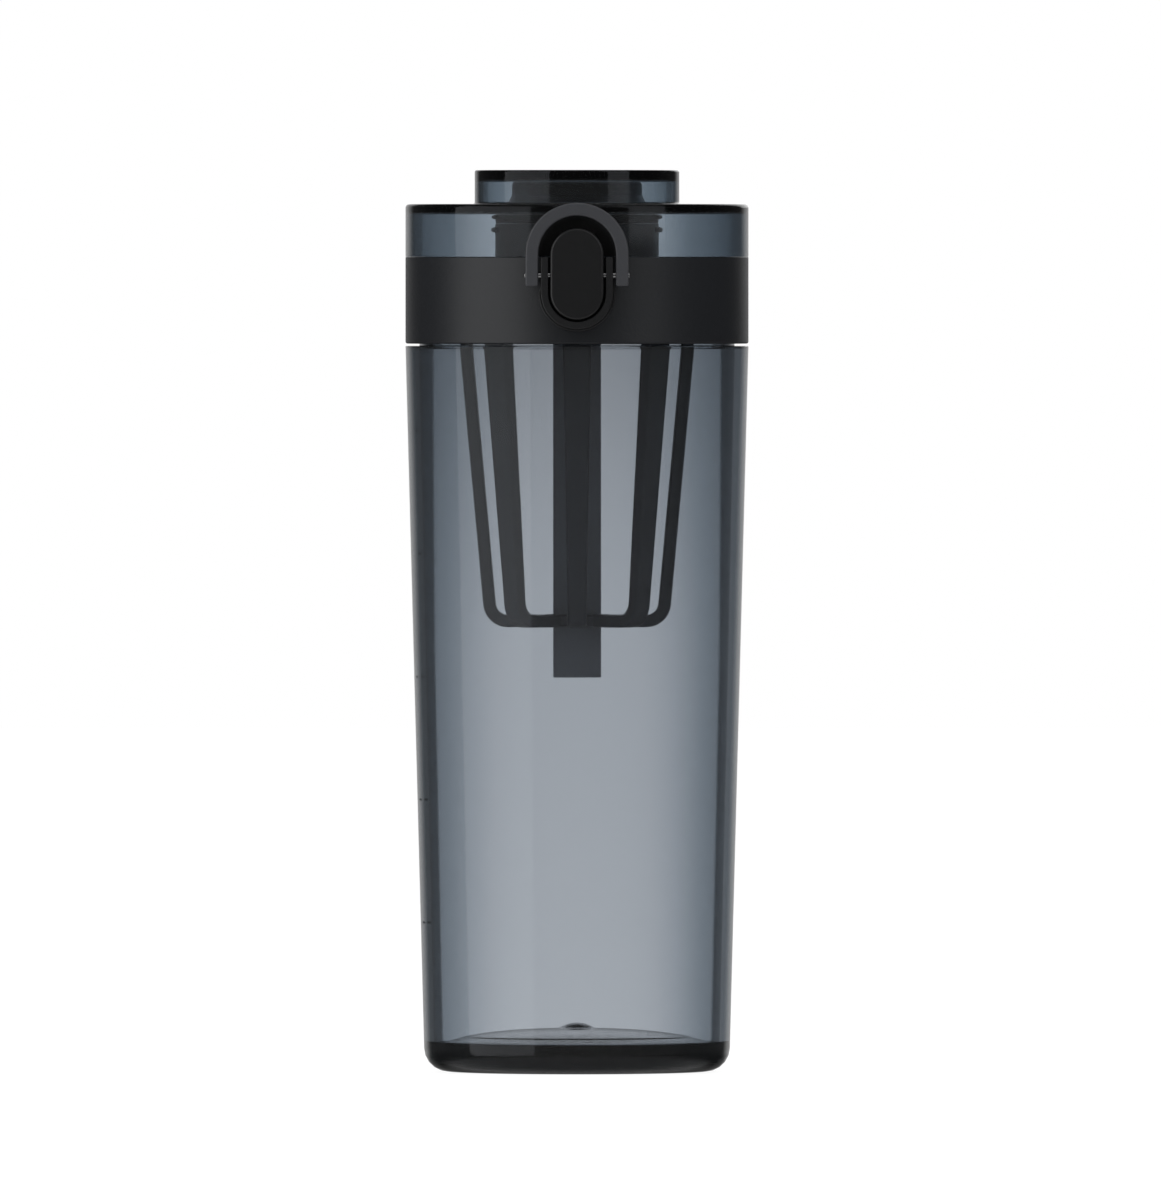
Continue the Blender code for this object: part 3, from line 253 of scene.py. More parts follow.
def rounded(corners, closed):
    """Points of an outline whose corners, given as two places and a radius, are rounded."""
    steps = 5
    points = []
    for index, (across, up, radius) in enumerate(corners):
        here = Vector((across, up))
        if not radius or (not closed and index in (0, len(corners) - 1)):
            points.append(here)
            continue
        back = (Vector(corners[index - 1][:2]) - here).normalized()
        on = (Vector(corners[(index + 1) % len(corners)][:2]) - here).normalized()
        half = back.angle(on) / 2
        if half > math.pi / 2 - 0.01:
            points.append(here)
            continue
        centre = here + (back + on).normalized() * radius / math.sin(half)
        start = here + back * radius / math.tan(half) - centre
        end = here + on * radius / math.tan(half) - centre
        sweep_angle = math.pi - 2 * half
        for step in range(steps + 1):
            share = step / steps
            points.append(centre + (
                start * math.sin((1 - share) * sweep_angle) + end * math.sin(share * sweep_angle)
            ) / math.sin(sweep_angle))
    return points


def arc(centre, radius, start, end, count=25):
    """Points on an arc, angles in degrees."""
    found = []
    for index in range(count):
        turn = math.radians(start + (end - start) * index / (count - 1))
        found.append((centre[0] + radius * math.cos(turn), centre[1] + radius * math.sin(turn)))
    return found


def added(name, shape):
    """Turns a bmesh into an object at the origin."""
    mesh = bpy.data.meshes.new(name)
    shape.to_mesh(mesh)
    shape.free()
    piece = bpy.data.objects.new(name, mesh)
    scene.collection.objects.link(piece)
    return piece


def shaded(piece, angle=30):
    piece.data.shade_smooth()
    piece.data.set_sharp_from_angle(angle=math.radians(angle))


def turned(name, corners, closed=True, steps=144):
    """A shape turned about the bottle's axis from a rounded outline in millimetres."""
    shape = bmesh.new()
    verts = [shape.verts.new((x * MM, 0, z * MM)) for x, z in rounded(corners, closed)]
    edges = [shape.edges.new(pair) for pair in zip(verts, verts[1:])]
    if closed:
        edges.append(shape.edges.new((verts[-1], verts[0])))
    bmesh.ops.spin(
        shape, geom=verts + edges, cent=(0, 0, 0), axis=(0, 0, 1), angle=math.tau, steps=steps,
        use_merge=True,
    )
    bmesh.ops.remove_doubles(shape, verts=shape.verts, dist=1e-7)
    bmesh.ops.recalc_face_normals(shape, faces=shape.faces)
    piece = added(name, shape)
    shaded(piece)
    return piece


def skinned(name, rings):
    """A solid skinned over one ring of places in metres after another, shut at both ends."""
    shape = bmesh.new()
    rings = [[shape.verts.new(place) for place in ring] for ring in rings]
    for one, two in zip(rings, rings[1:]):
        for corner in range(len(one)):
            after = (corner + 1) % len(one)
            shape.faces.new((one[corner], one[after], two[after], two[corner]))
    shape.faces.new(rings[0])
    shape.faces.new(rings[-1])
    bmesh.ops.recalc_face_normals(shape, faces=shape.faces)
    return added(name, shape)


def worked(piece, *others, operation="DIFFERENCE"):
    """Cuts other shapes away from a piece, or joins them to it, and applies every modifier."""
    for other in others:
        boolean = piece.modifiers.new("cut", "BOOLEAN")
        boolean.operation = operation
        boolean.object = other
    graph = bpy.context.evaluated_depsgraph_get()
    graph.update()
    mesh = bpy.data.meshes.new_from_object(piece.evaluated_get(graph))
    mesh.transform(piece.matrix_world)
    piece.matrix_world = Matrix.Identity(4)
    piece.modifiers.clear()
    piece.data = mesh
    for other in others:
        bpy.data.objects.remove(other)
    shaded(piece)
    return piece


def dressed(piece, material, body, slot, *nodes):
    """Evens a piece's shading, then gives it its material and its body, and hides the parts it stands
    for.
    """
    even = piece.modifiers.new("even", "WEIGHTED_NORMAL")
    even.keep_sharp = True
    even.weight = 80
    graph = bpy.context.evaluated_depsgraph_get()
    graph.update()
    piece.data = bpy.data.meshes.new_from_object(piece.evaluated_get(graph))
    piece.modifiers.clear()
    piece.data.materials.clear()
    piece.data.materials.append(material)
    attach(piece, body)
    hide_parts(*nodes)


def thread(name, root, crest, start):
    """A trapezoid ridge on a helix, tapered at both ends."""
    per_turn = 96
    count = round(THREAD_TURNS * per_turn)
    rings = []
    root_half, crest_half = RIDGE_ROOT_HALF, RIDGE_CREST_HALF
    for index in range(count + 1):
        share = min(1, min(index, count - index) / 6 + 0.05)
        turn = math.tau * index / per_turn
        height = start + THREAD_LEAD * index / per_turn
        reach = root + (crest - root) * share
        section = ((root, -root_half), (reach, -crest_half), (reach, crest_half), (root, root_half))
        rings.append([
            (radius * math.cos(turn) * MM, radius * math.sin(turn) * MM, (height + up) * MM)
            for radius, up in section
        ])
    return skinned(name, rings)


def grain(finish, scale, detail):
    """Fine noise over the piece's own coordinates."""
    place = finish.add("ShaderNodeTexCoord", output="Object")
    return finish.add("ShaderNodeTexNoise", None, {
        "Vector": place, "Scale": scale, "Detail": detail,
    })


def blend(finish, share, first, second):
    """Goes from one colour to another, each a value or its red, green and blue."""
    first, second = (
        tone if isinstance(tone, Value) else (*tone, 1) for tone in (first, second)
    )
    return finish.add("ShaderNodeMix", {"data_type": "RGBA"}, {0: share, 6: first, 7: second}, 2)


def dented(finish, strength, distance, height):
    """A bumpy surface, for a Normal socket."""
    return finish.add("ShaderNodeBump", None, {
        "Strength": strength, "Distance": distance, "Height": height,
    })


def coated(finish, values, **more):
    """Ends a material in its skin, and in what lies below it."""
    skin = finish.add("ShaderNodeBsdfPrincipled", None, values)
    finish.add("ShaderNodeOutputMaterial", None, {"Surface": skin, **more})
    return finish.owner


def smoke(
    name, density, tint, waviness, skin_radius, lean, top_shade, side, turn_span, right_shade, clearness,
    rim_dark, edge_share, crown=1.0, crown_side=(1, 1, 1), plates=(1.0, 1.0, 1.0),
):
    """Clear tinted plastic: the tint sits in the wall's depth, with faint moulding waves.

    Both skins are painted darker when seen aslant, to the side tone, which is crown_side above the
    height crown: painted shade in place of the dark edges that the lighting gives. The bore's skin
    then turns nearly black, all but rim_dark of it, which paints a dark shade line beside the edge.
    The outer one turns pale again at its very edge, by edge_share below the crown: a painted
    highlight. skin_radius and lean tell the two skins apart. top_shade paints the colour darker
    upwards, shade under the collar, and right_shade paints it darker towards +X, the side away from
    the main lamp. plates are the heights where solid plastic begins, ends and begins again."""
    finish = Tree(bpy.data.materials.new(name))
    wave = grain(finish, 38, 1.0)
    haze = grain(finish, 420, 3.0)
    place = finish.add("ShaderNodeTexCoord", output="Object")
    flat = finish.add("ShaderNodeVectorMath", {"operation": "MULTIPLY"}, {0: place, 1: (1, 1, 0)})
    radius = finish.add("ShaderNodeVectorMath", {"operation": "LENGTH"}, {0: flat}, "Value")
    height = finish.along(place, "Z")
    sideways = finish.along(place, "X")
    outer = radius > skin_radius + lean * height
    raised = height > crown
    # Painted shade: the colour is darkened towards the top, under the collar.
    high = finish.ramp(height, *TOP_SHADE_HEIGHTS, 0.0, top_shade, "LINEAR")
    # Painted shade: where the skin is seen aslant the colour turns to the darker side tone, and more
    # so towards +X.
    slant = finish.add("ShaderNodeLayerWeight", None, {"Blend": 0.5}, "Facing")
    turn = finish.ramp(slant + 0.09 * high + right_shade * sideways, *turn_span, 1.0, 0.0)
    # Painted shade: a nearly black line beside the bore's edge.
    bore_rim = finish.ramp(slant + 0.075 * high, *RIM_SLANT, 1.0, rim_dark)
    rim = outer + (1 - outer) * bore_rim
    # Painted highlight: the outer skin turns pale again at its very edge.
    edge = outer * finish.ramp(slant, *EDGE_SLANT) * (edge_share + (1 - edge_share) * raised)
    aslant = blend(finish, edge, blend(finish, raised, side, crown_side), EDGE_TONE)
    tone = blend(finish, rim, RIM_TONE, blend(finish, turn, aslant, FACING_TONE))
    solid = (height > plates[0]) * (1 - (height > plates[1])) + (height > plates[2])
    # The painted shade towards the top is applied here, and solid plastic is darker by its depth.
    shaded_tone = finish.add("ShaderNodeVectorMath", {"operation": "SCALE"}, {
        0: tone, "Scale": (1 - 0.13 * high * high) * (1 - 0.75 * solid),
    })
    depth = finish.add("ShaderNodeVolumeAbsorption", None, {"Color": (*tint, 1), "Density": density})
    return coated(finish, {
        "Base Color": shaded_tone,
        "Roughness": 0.015 + 0.035 * haze,
        "IOR": PLASTIC_IOR,
        "Specular Tint": (0.42, 0.44, 0.47, 1),
        "Transmission Weight": clearness,
        "Normal": dented(finish, waviness, 0.0006, wave),
    }, Volume=depth)


lean = (SHOULDER_R - FOOT_R) / SHOULDER
outline = [
    (BORE_R, NECK_TOP, 0.6), (NECK_R, NECK_TOP, 0.6), (NECK_R, SHOULDER, 0.15),
    (SHOULDER_R, SHOULDER, 0.15), (FOOT_R, 0, 6.0), (24.7, 0, 0.4), (23.5, 1.2, 0.4), (0, 1.2, 0),
    (0, NUB_TOP, 0),
]
outline += [(reach, up, 0) for reach, up in arc((0, NUB_TOP - NUB_R), NUB_R, 82, 56.2, 5)]
for reach in (6, 10, 14, 17, 20, 22, 24, 26, 27.3, DOME_R):
    outline.append((reach, DOME_TOP - DOME_FALL * (reach / DOME_R) ** 2.6, 0))
outline += [
    (28.6, 8.68, 0), (34.5, 7.25, 0.3), (FOOT_R - FOOT_WALL + lean * FLOOR_EDGE, FLOOR_EDGE, 0.6),
    (SHOULDER_R - SHOULDER_WALL, SHOULDER - WEB, 0.05), (BORE_R, SHOULDER - WEB, 0.05),
]
tumbler = turned("tumbler_fine", outline)
ridge = thread("neck_thread", NECK_R - RIDGE_SUNK, NECK_R + RIDGE_HEIGHT, THREAD_FOOT)
tumbler = worked(tumbler, ridge, operation="UNION")
# Its side tone, dark bore line, pale edge and darkening towards the top are painted shade and a
# painted highlight; the tint itself is the absorption.
tumbler_smoke = smoke(
    "tumbler_smoke", density=166.0, tint=(0.0, 0.065, 0.15), waviness=0.03,
    skin_radius=(FOOT_R - FOOT_WALL / 2) * MM, lean=lean, top_shade=1.0, side=(0.64, 0.69, 0.73),
    turn_span=(0.05, 0.45), right_shade=0.0, clearness=0.98, rim_dark=0.08, edge_share=0.95,
)
dressed(tumbler, tumbler_smoke, "tumbler", "smoke_tumbler", "tumbler")

# Graduation: five short dark bars printed on the wall's left side, one for about every 140 ml. They
# are copies of one bar, set along the slanting wall by nodes.
MARK_COUNT = 5
MARK_FOOT = 37.5
MARK_STEP = 30.8
MARK_START = -80
MARK_TURN = 0.9
MARK_HALF = 0.25
MARK_INSIDE = 0.2
MARK_PROUD = 0.03


class ShapeTree(Tree):
    """A Geometry Nodes tree under construction. Its inputs are named, each with a kind and a value."""

    def __init__(self, name, inputs):
        self.tree = bpy.data.node_groups.new(name, "GeometryNodeTree")
        self.values = {}
        self.socket("Geometry", "INPUT", "Geometry")
        for label, (kind, value) in inputs.items():
            self.values[self.socket(label, "INPUT", kind)] = value
        self.socket("Geometry", "OUTPUT", "Geometry")

    def socket(self, label, side, kind):
        made = self.tree.interface.new_socket(label, in_out=side, socket_type="NodeSocket" + kind)
        return made.identifier

    def given(self, label):
        """What one of the tree's inputs holds."""
        return self.add("NodeGroupInput", output=label)

    def copies(self, points, **more):
        """The pattern once on each point."""
        source = self.add(
            "GeometryNodeObjectInfo", None, {"Object": self.given("Pattern")}, "Geometry",
        )
        return self.add("GeometryNodeInstanceOnPoints", None, {
            "Points": points, "Instance": source, **more,
        })

    def made(self, piece, shape):
        """Ends the tree in real geometry with its finish, and turns the piece into that mesh."""
        real = self.add("GeometryNodeRealizeInstances", None, {"Geometry": shape})
        self.add("NodeGroupOutput", None, {0: self.add("GeometryNodeSetMaterial", None, {
            "Geometry": real, "Material": self.given("Finish"),
        })})
        modifier = piece.modifiers.new("nodes", "NODES")
        modifier.node_group = self.tree
        for identifier, value in self.values.items():
            modifier[identifier] = value
        return worked(piece)


def in_a_row(name, pattern, count, first, step, finish):
    """Copies of one shape set along a straight line, as one mesh."""
    row = ShapeTree(name, {
        "Count": ("Int", count), "Start": ("Vector", first), "Step": ("Vector", step),
        "Pattern": ("Object", pattern), "Finish": ("Material", finish),
    })
    line = row.add("GeometryNodeMeshLine", None, {
        "Count": row.given("Count"), "Start Location": row.given("Start"),
        "Offset": row.given("Step"),
    })
    piece = row.made(added(name, bmesh.new()), row.copies(line))
    bpy.data.objects.remove(pattern)
    return piece


def mark():
    """One bar, curved like the wall and sunk a little into it, drawn about the row's first point."""
    wall = FOOT_R + lean * MARK_FOOT
    under, over = wall - MARK_INSIDE, wall + MARK_PROUD
    section = ((under, -MARK_HALF), (over, -MARK_HALF), (over, MARK_HALF), (under, MARK_HALF))
    rings = []
    for step in range(5):
        turn = math.radians(MARK_START + MARK_TURN * step)
        rings.append([
            Vector((radius * math.sin(turn) + wall, -radius * math.cos(turn), up)) * MM
            for radius, up in section
        ])
    return skinned("mark", rings)


def mottled(finish, share, colour, dark, light):
    """One colour, a little darker in some places and lighter in others."""
    return blend(finish, share, [c * dark for c in colour], [c * light for c in colour])


def printed(name, colour):
    """Screen-printed ink: a faint mottle in the colour and a slightly uneven skin."""
    finish = Tree(bpy.data.materials.new(name))
    mottle = grain(finish, 900, 3.0)
    return coated(finish, {
        "Base Color": mottled(finish, mottle, colour, 0.8, 1.3),
        "Roughness": 0.5 + 0.15 * mottle,
        "Normal": dented(finish, 0.3, 0.00003, mottle),
    })


ink = printed("mark_ink", (0.032, 0.037, 0.045))
first_mark = Vector((-(FOOT_R + lean * MARK_FOOT), 0, MARK_FOOT)) * MM
mark_step = Vector((-lean * MARK_STEP, 0, MARK_STEP)) * MM
marks = in_a_row("graduation_marks", mark(), MARK_COUNT, first_mark, mark_step, ink)
dressed(marks, ink, "tumbler", "black_satin")

# Neck gasket: a soft black silicone ring, moulded in one. It is pressed up under the lid and seals
# on the neck's rim.
GASKET_FOOT = 198.3
GASKET_TOP = 200.3


def rubber(name, colour, roughness, edge_sheen=0.0):
    """Silicone or satin plastic: a faint cloud in the colour and a fine leathery skin. edge_sheen
    paints a sheen, lightening the colour where it is seen aslant."""
    finish = Tree(bpy.data.materials.new(name))
    cloud = grain(finish, 60, 3.0)
    fine = grain(finish, 2600, 2.0)
    slant = finish.add("ShaderNodeLayerWeight", None, {"Blend": 0.5}, "Facing")
    # Painted sheen: the colour is scaled up where the surface is seen aslant.
    sheen_lit = finish.add("ShaderNodeVectorMath", {"operation": "SCALE"}, {
        0: mottled(finish, cloud, colour, 0.85, 1.2),
        "Scale": finish.ramp(slant, 0.05, 0.45, 1.0, 1.0 + edge_sheen),
    })
    return coated(finish, {
        "Base Color": sheen_lit,
        "Roughness": roughness + 0.08 * fine - 0.04,
        "IOR": 1.45,
        "Normal": dented(finish, 0.25, 0.00005, fine),
    })


silicone = rubber("black_silicone", (0.020, 0.0205, 0.022), 0.55)
gasket = turned("gasket_fine", [
    (NECK_R, GASKET_TOP, 0.4), (NECK_R, GASKET_FOOT, 0.4), (BORE_R, GASKET_FOOT, 0.4),
    (BORE_R, GASKET_TOP, 0.4),
])
dressed(gasket, silicone, "seal", "silicone", "neck_gasket")

# Collar: matte black polypropylene with a spark-eroded skin, threaded inside, with two hinge ears
# moulded on its back.
COLLAR_R = 43.0
COLLAR_BORE_R = 40.9
COLLAR_FOOT = 182.5
COLLAR_TOP = 204.2
LEDGE_R = 39.8
LEDGE_TOP = 201.3
EAR_ROOT = 40.74
HINGE_Y = 46.2
HINGE_Z = 204.2
HINGE_R = 2.8
HINGE_BORE_R = 1.5
RIDGE_BELOW = 1.55


def matte(name, colour, roughness, depth):
    """Moulded plastic with a spark-eroded skin, a little polished where hands rub it."""
    finish = Tree(bpy.data.materials.new(name))
    pits = grain(finish, 1500, 4.0)
    rub = grain(finish, 26, 4.0)
    return coated(finish, {
        "Base Color": mottled(finish, rub, colour, 0.9, 1.12),
        "Roughness": roughness + 0.1 * pits - 0.08 * rub,
        "IOR": PLASTIC_IOR,
        "Normal": dented(finish, depth, 0.00008, pits),
    })


def prism(name, outline, low, high, along="Y", bevel=0.0, segments=3):
    """A flat outline with a thickness, in millimetres: drawn in X and Z, or in Y and Z along X."""
    shape = bmesh.new()
    ring = []
    for across, up in outline:
        place = (across, low, up) if along == "Y" else (low, across, up)
        ring.append(shape.verts.new(Vector(place) * MM))
    face = shape.faces.new(ring)
    grown = bmesh.ops.extrude_face_region(shape, geom=[face])
    push = Vector((0, high - low, 0) if along == "Y" else (high - low, 0, 0)) * MM
    moved = [item for item in grown["geom"] if isinstance(item, bmesh.types.BMVert)]
    bmesh.ops.translate(shape, verts=moved, vec=push)
    bmesh.ops.recalc_face_normals(shape, faces=shape.faces)
    piece = added(name, shape)
    if bevel:
        soft = piece.modifiers.new("edges", "BEVEL")
        soft.width = bevel * MM
        soft.segments = segments
        soft.limit_method = "ANGLE"
        soft.angle_limit = math.radians(40)
        worked(piece)
    return piece


def both_sides(name, outline, near, far, bevel):
    """Two plates alike, drawn in Y and Z, one on each side of the middle."""
    return [
        prism(name, outline, *sorted((side * near, side * far)), "X", bevel, 2) for side in (-1, 1)
    ]


def rod(name, radius, start, end, sides=48):
    """A round bar between two points in millimetres."""
    start, end = Vector(start) * MM, Vector(end) * MM
    turn = (end - start).to_track_quat("Z", "Y").to_matrix().to_4x4()
    shape = bmesh.new()
    bmesh.ops.create_cone(
        shape, cap_ends=True, segments=sides, radius1=radius * MM, radius2=radius * MM,
        depth=(end - start).length, matrix=Matrix.Translation((start + end) / 2) @ turn,
    )
    return added(name, shape)


def crossing(name, radius, half, y, z, sides=48):
    """A round bar that lies across the bottle."""
    return rod(name, radius, (-half, y, z), (half, y, z), sides)


collar_black = matte("collar_black", (0.0136, 0.0153, 0.0186), 0.40, 0.35)
collar = turned("collar_fine", [
    (COLLAR_R, COLLAR_TOP, 0.15), (COLLAR_R, COLLAR_FOOT, 0.5), (COLLAR_BORE_R, COLLAR_FOOT, 0.3),
    (COLLAR_BORE_R, 199.5, 0), (LEDGE_R, 200.6, 0.2), (LEDGE_R, LEDGE_TOP, 0.2),
    (COLLAR_BORE_R, LEDGE_TOP, 0), (COLLAR_BORE_R, COLLAR_TOP, 0.3),
])
ridge = thread(
    "collar_thread", COLLAR_BORE_R + RIDGE_SUNK, COLLAR_BORE_R - RIDGE_HEIGHT,
    THREAD_FOOT - RIDGE_BELOW,
)
outline = [(EAR_ROOT, 196.7)] + arc((HINGE_Y, HINGE_Z), HINGE_R, -60, 180) + [(EAR_ROOT, 203.2)]
ears = both_sides("ear", outline, 8.0, 12.0, 0.25)
collar = worked(collar, ridge, *ears, operation="UNION")
collar = worked(collar, crossing("ear_bore", HINGE_BORE_R, 15, HINGE_Y, HINGE_Z))
dressed(collar, collar_black, "lid", "black_matte", "collar")

# Inner lid: a satin black disc with the round drinking mouth above it and the cage's socket below,
# pressed into the collar until it snaps over the ledge.
MOUTH_R = 20.5
MOUTH_BORE_R = 16.5
MOUTH_TOP = 212.6
DECK_R = 40.6
DECK_TOP = 203.9
DECK_FOOT = 201.6
SEAT_Z = 200.6
SOCKET_R = 25.1
SOCKET_BORE_R = 23.3
SOCKET_FOOT = 190.1
SNAP_Z = 194.1
SNAP_HALF = 0.6
# Satin black plastic, its colour set well lighter than the core's: painted light in place of the lamp
# light that doesn't reach it through the clear cover.
lid_black = rubber("lid_satin", (0.064, 0.066, 0.071), 0.38)
deck = turned("deck_fine", [
    (MOUTH_R, MOUTH_TOP, 0.3), (MOUTH_R, DECK_TOP, 0.5), (DECK_R, DECK_TOP, 0.3),
    (DECK_R, DECK_FOOT, 0), (NECK_R, DECK_FOOT, 0), (NECK_R, SEAT_Z, 0.1), (BORE_R, SEAT_Z, 0.1),
    (BORE_R, DECK_FOOT, 0.3), (SOCKET_R, DECK_FOOT, 0.4), (SOCKET_R, SNAP_Z + SNAP_HALF, 0),
    (SOCKET_R + 0.2, SNAP_Z, 0.1), (SOCKET_R, SNAP_Z - SNAP_HALF, 0), (SOCKET_R, SOCKET_FOOT, 0.5),
    (SOCKET_BORE_R, SOCKET_FOOT, 0.5), (SOCKET_BORE_R, DECK_FOOT, 0.4), (MOUTH_R, DECK_FOOT, 0.3),
    (19.5, SEAT_Z, 0.3), (MOUTH_BORE_R, SEAT_Z, 0.5), (MOUTH_BORE_R, MOUTH_TOP, 0.9),
])


def beads(name, reach, z, half):
    """Two short snap beads, one on each side of the mouth."""
    root = 20.1
    ring = turned(name, [
        (root, z + half + 0.15, 0), (reach - 0.5, z + half, 0.25), (reach, z + half * 0.5, 0.25),
        (reach, z - half * 0.5, 0.25), (reach - 0.5, z - half, 0.25), (root, z - half - 0.15, 0),
    ])
    sides = prism("sides", [(-30, z - 5), (30, z - 5), (30, z + 5), (-30, z + 5)], -6.0, 6.0)
    return worked(ring, sides, operation="INTERSECT")


deck = worked(deck, beads("mouth_beads", 21.5, 211.0, 0.62), operation="UNION")
dressed(deck, lid_black, "lid", "black_satin", "lid_deck")

# Mixing cage: a top ring that snaps on the socket, eight bent arms and a slotted hub, moulded in
# one in dark nylon. The arms are copies of one arm, set round the axis.
RING_R = 28.5
RING_BORE_R = 25.4
RING_FOOT = 185.0
RING_TOP = 199.6
SHELF_BORE_R = 24.0
SHELF_TOP = 185.9
ARM_COUNT = 8
ARM_TOP = Vector((27.75, 181.5))
ARM_FOOT = Vector((21.95, 117.25))
ARM_BEND = 4.6
ARM_HALF_DEPTH = 1.55
ARM_ROUNDING = 0.7
ARM_NARROW = 4.7
HUB_R = 8.5
HUB_FOOT = 111.7
HUB_TOP = 114.8


def around(name, pattern, count, finish):
    """Copies of one shape set at equal turns round the bottle's axis, as one mesh."""
    ring = ShapeTree(name, {
        "Count": ("Int", count), "Pattern": ("Object", pattern), "Finish": ("Material", finish),
    })
    points = ring.add("GeometryNodeMeshLine", None, {
        "Count": ring.given("Count"), "Offset": (0, 0, 0),
    })
    turn = ring.add("GeometryNodeInputIndex") / ring.given("Count") * math.tau
    spin = ring.add("ShaderNodeCombineXYZ", None, {"Z": turn})
    piece = ring.made(added(name, bmesh.new()), ring.copies(points, Rotation=spin))
    bpy.data.objects.remove(pattern)
    return piece


def across_arm(turn):
    """Straight out from an arm where it leans in by this angle, in the plane it bends in."""
    return Vector((math.cos(turn), -math.sin(turn)))


def cage_arm():
    """One arm, swept down from the ring, round the corner and in to the hub."""
    slope = math.atan2(ARM_TOP.x - ARM_FOOT.x, ARM_TOP.y - ARM_FOOT.y)
    centre = ARM_FOOT - across_arm(slope) * ARM_BEND
    route = [(Vector((27.1, 186.2)), slope, 7.0), (ARM_TOP, slope, 7.0)]
    for share, width in ((0.33, 6.2), (0.66, 5.5)):
        route.append((ARM_TOP.lerp(ARM_FOOT, share), slope, width))
    for step in range(9):
        turn = slope + (math.pi / 2 - slope) * step / 8
        route.append((centre + across_arm(turn) * ARM_BEND, turn, ARM_NARROW))
    route.append((Vector((HUB_R - 0.8, centre.y - ARM_BEND)), math.pi / 2, ARM_NARROW))
    rings = []
    for point, turn, width in route:
        out = across_arm(turn)
        ring = []
        for corner, (side, face) in enumerate(((-1, -1), (1, -1), (1, 1), (-1, 1))):
            for step in range(4):
                angle = math.radians(180 + 90 * corner + 30 * step)
                wide = side * (width / 2 - ARM_ROUNDING) + ARM_ROUNDING * math.cos(angle)
                deep = face * (ARM_HALF_DEPTH - ARM_ROUNDING) + ARM_ROUNDING * math.sin(angle)
                ring.append(Vector((point.x + out.x * deep, wide, point.y + out.y * deep)) * MM)
        rings.append(ring)
    return skinned("cage_arm", rings)


cage_black = rubber("cage_nylon", (0.058, 0.061, 0.070), 0.42)
cage = turned("cage_fine", [
    (RING_R, RING_TOP, 0.6), (RING_R, RING_FOOT, 0.6), (SHELF_BORE_R, RING_FOOT, 0.3),
    (SHELF_BORE_R, SHELF_TOP, 0.3), (RING_BORE_R, SHELF_TOP, 0),
    (RING_BORE_R, SNAP_Z - SNAP_HALF, 0), (RING_BORE_R + 0.2, SNAP_Z, 0),
    (RING_BORE_R, SNAP_Z + SNAP_HALF, 0), (RING_BORE_R, RING_TOP, 0.6),
])
arms = around("cage_arms", cage_arm(), ARM_COUNT, cage_black)
hub = turned("hub", [
    (0, HUB_TOP, 0), (HUB_R, HUB_TOP, 0.7), (HUB_R, HUB_FOOT, 0.7), (0, HUB_FOOT, 0),
], closed=False)
cage = worked(cage, arms, hub, operation="UNION")
slot = prism("hub_slot", [(-6.3, 105), (6.3, 105), (6.3, 120), (-6.3, 120)], -1.8, 1.8)
cage = worked(cage, slot)
dressed(cage, cage_black, "cage", "cage_black", "mixing_cage")

# Stirring blade: a flat T of dark nylon, moulded in one. Its arms lie on the shelf in the cage's
# ring, and its stem hangs down through the slot in the hub.
BLADE_HALF = 6
BLADE_REACH = 24.7
BLADE_TOP = 189.8
BLADE_ARM_FOOT = 186.2
BLADE_FOOT = 98.9
# Dark nylon like the cage; its colour is set lighter than the cage's, painted light in place of the
# light it gets through the tumbler.
blade_black = rubber("blade_nylon", (0.150, 0.157, 0.175), 0.40)
blade = prism("blade_fine", [
    (BLADE_REACH, BLADE_TOP), (-BLADE_REACH, BLADE_TOP), (-BLADE_REACH, BLADE_ARM_FOOT),
    (-BLADE_HALF, BLADE_ARM_FOOT), (-BLADE_HALF, BLADE_FOOT), (BLADE_HALF, BLADE_FOOT),
    (BLADE_HALF, BLADE_ARM_FOOT), (BLADE_REACH, BLADE_ARM_FOOT),
], -1.5, 1.5, bevel=0.3)
dressed(blade, blade_black, "cage", "cage_black", "stir_blade")

# Latch frame: a black U round the button on a low pedestal, seated on the collar and bored for the
# cross pin.
PIN_Y = -46.0
PIN_Z = 199.7
PIN_BORE_R = 0.95
BUTTON_R = 6.65
BUTTON_LOW = 188.6 + BUTTON_R
BUTTON_HIGH = 211.4 - BUTTON_R


def cup(radius, top):
    """A U round the button's lower end."""
    return arc((0, BUTTON_LOW), radius, 180, 360, 49) + [(radius, top), (-radius, top)]


latch_black = matte("latch_black", (0.0120, 0.0124, 0.0134), 0.40, 0.25)
shelf = BUTTON_LOW + 0.9
outline = arc((0, BUTTON_LOW), 9.6, 180, 360, 49)
outline += [(9.3, shelf), (9.3, 206), (-9.3, 206), (-9.3, shelf)]
pedestal = prism("bezel_fine", outline, -44.0, -39.0, bevel=0.3)
wall = prism("rim", cup(9.0, 208), -48.3, -39.8, bevel=0.3)
bezel = worked(pedestal, wall, operation="UNION")
pocket = prism("pocket", cup(7.25, 212), -51, -37)
trim = prism("trim", [(-12, 204.2), (12, 204.2), (12, 214), (-12, 214)], -52, -36)
seat = turned("seat", [
    (0, 215, 0), (43.3, 215, 0), (43.3, 180, 0), (0, 180, 0),
], closed=False, steps=288)
bezel = worked(bezel, pocket, trim, seat, crossing("bore", PIN_BORE_R, 12, PIN_Y, PIN_Z, 32))
dressed(bezel, latch_black, "lid", "black_satin", "latch_bezel")

# Cross pin: a drawn steel pin, pushed in from the side, that carries the button and the bail. Its
# rounded ends stand a hair proud.


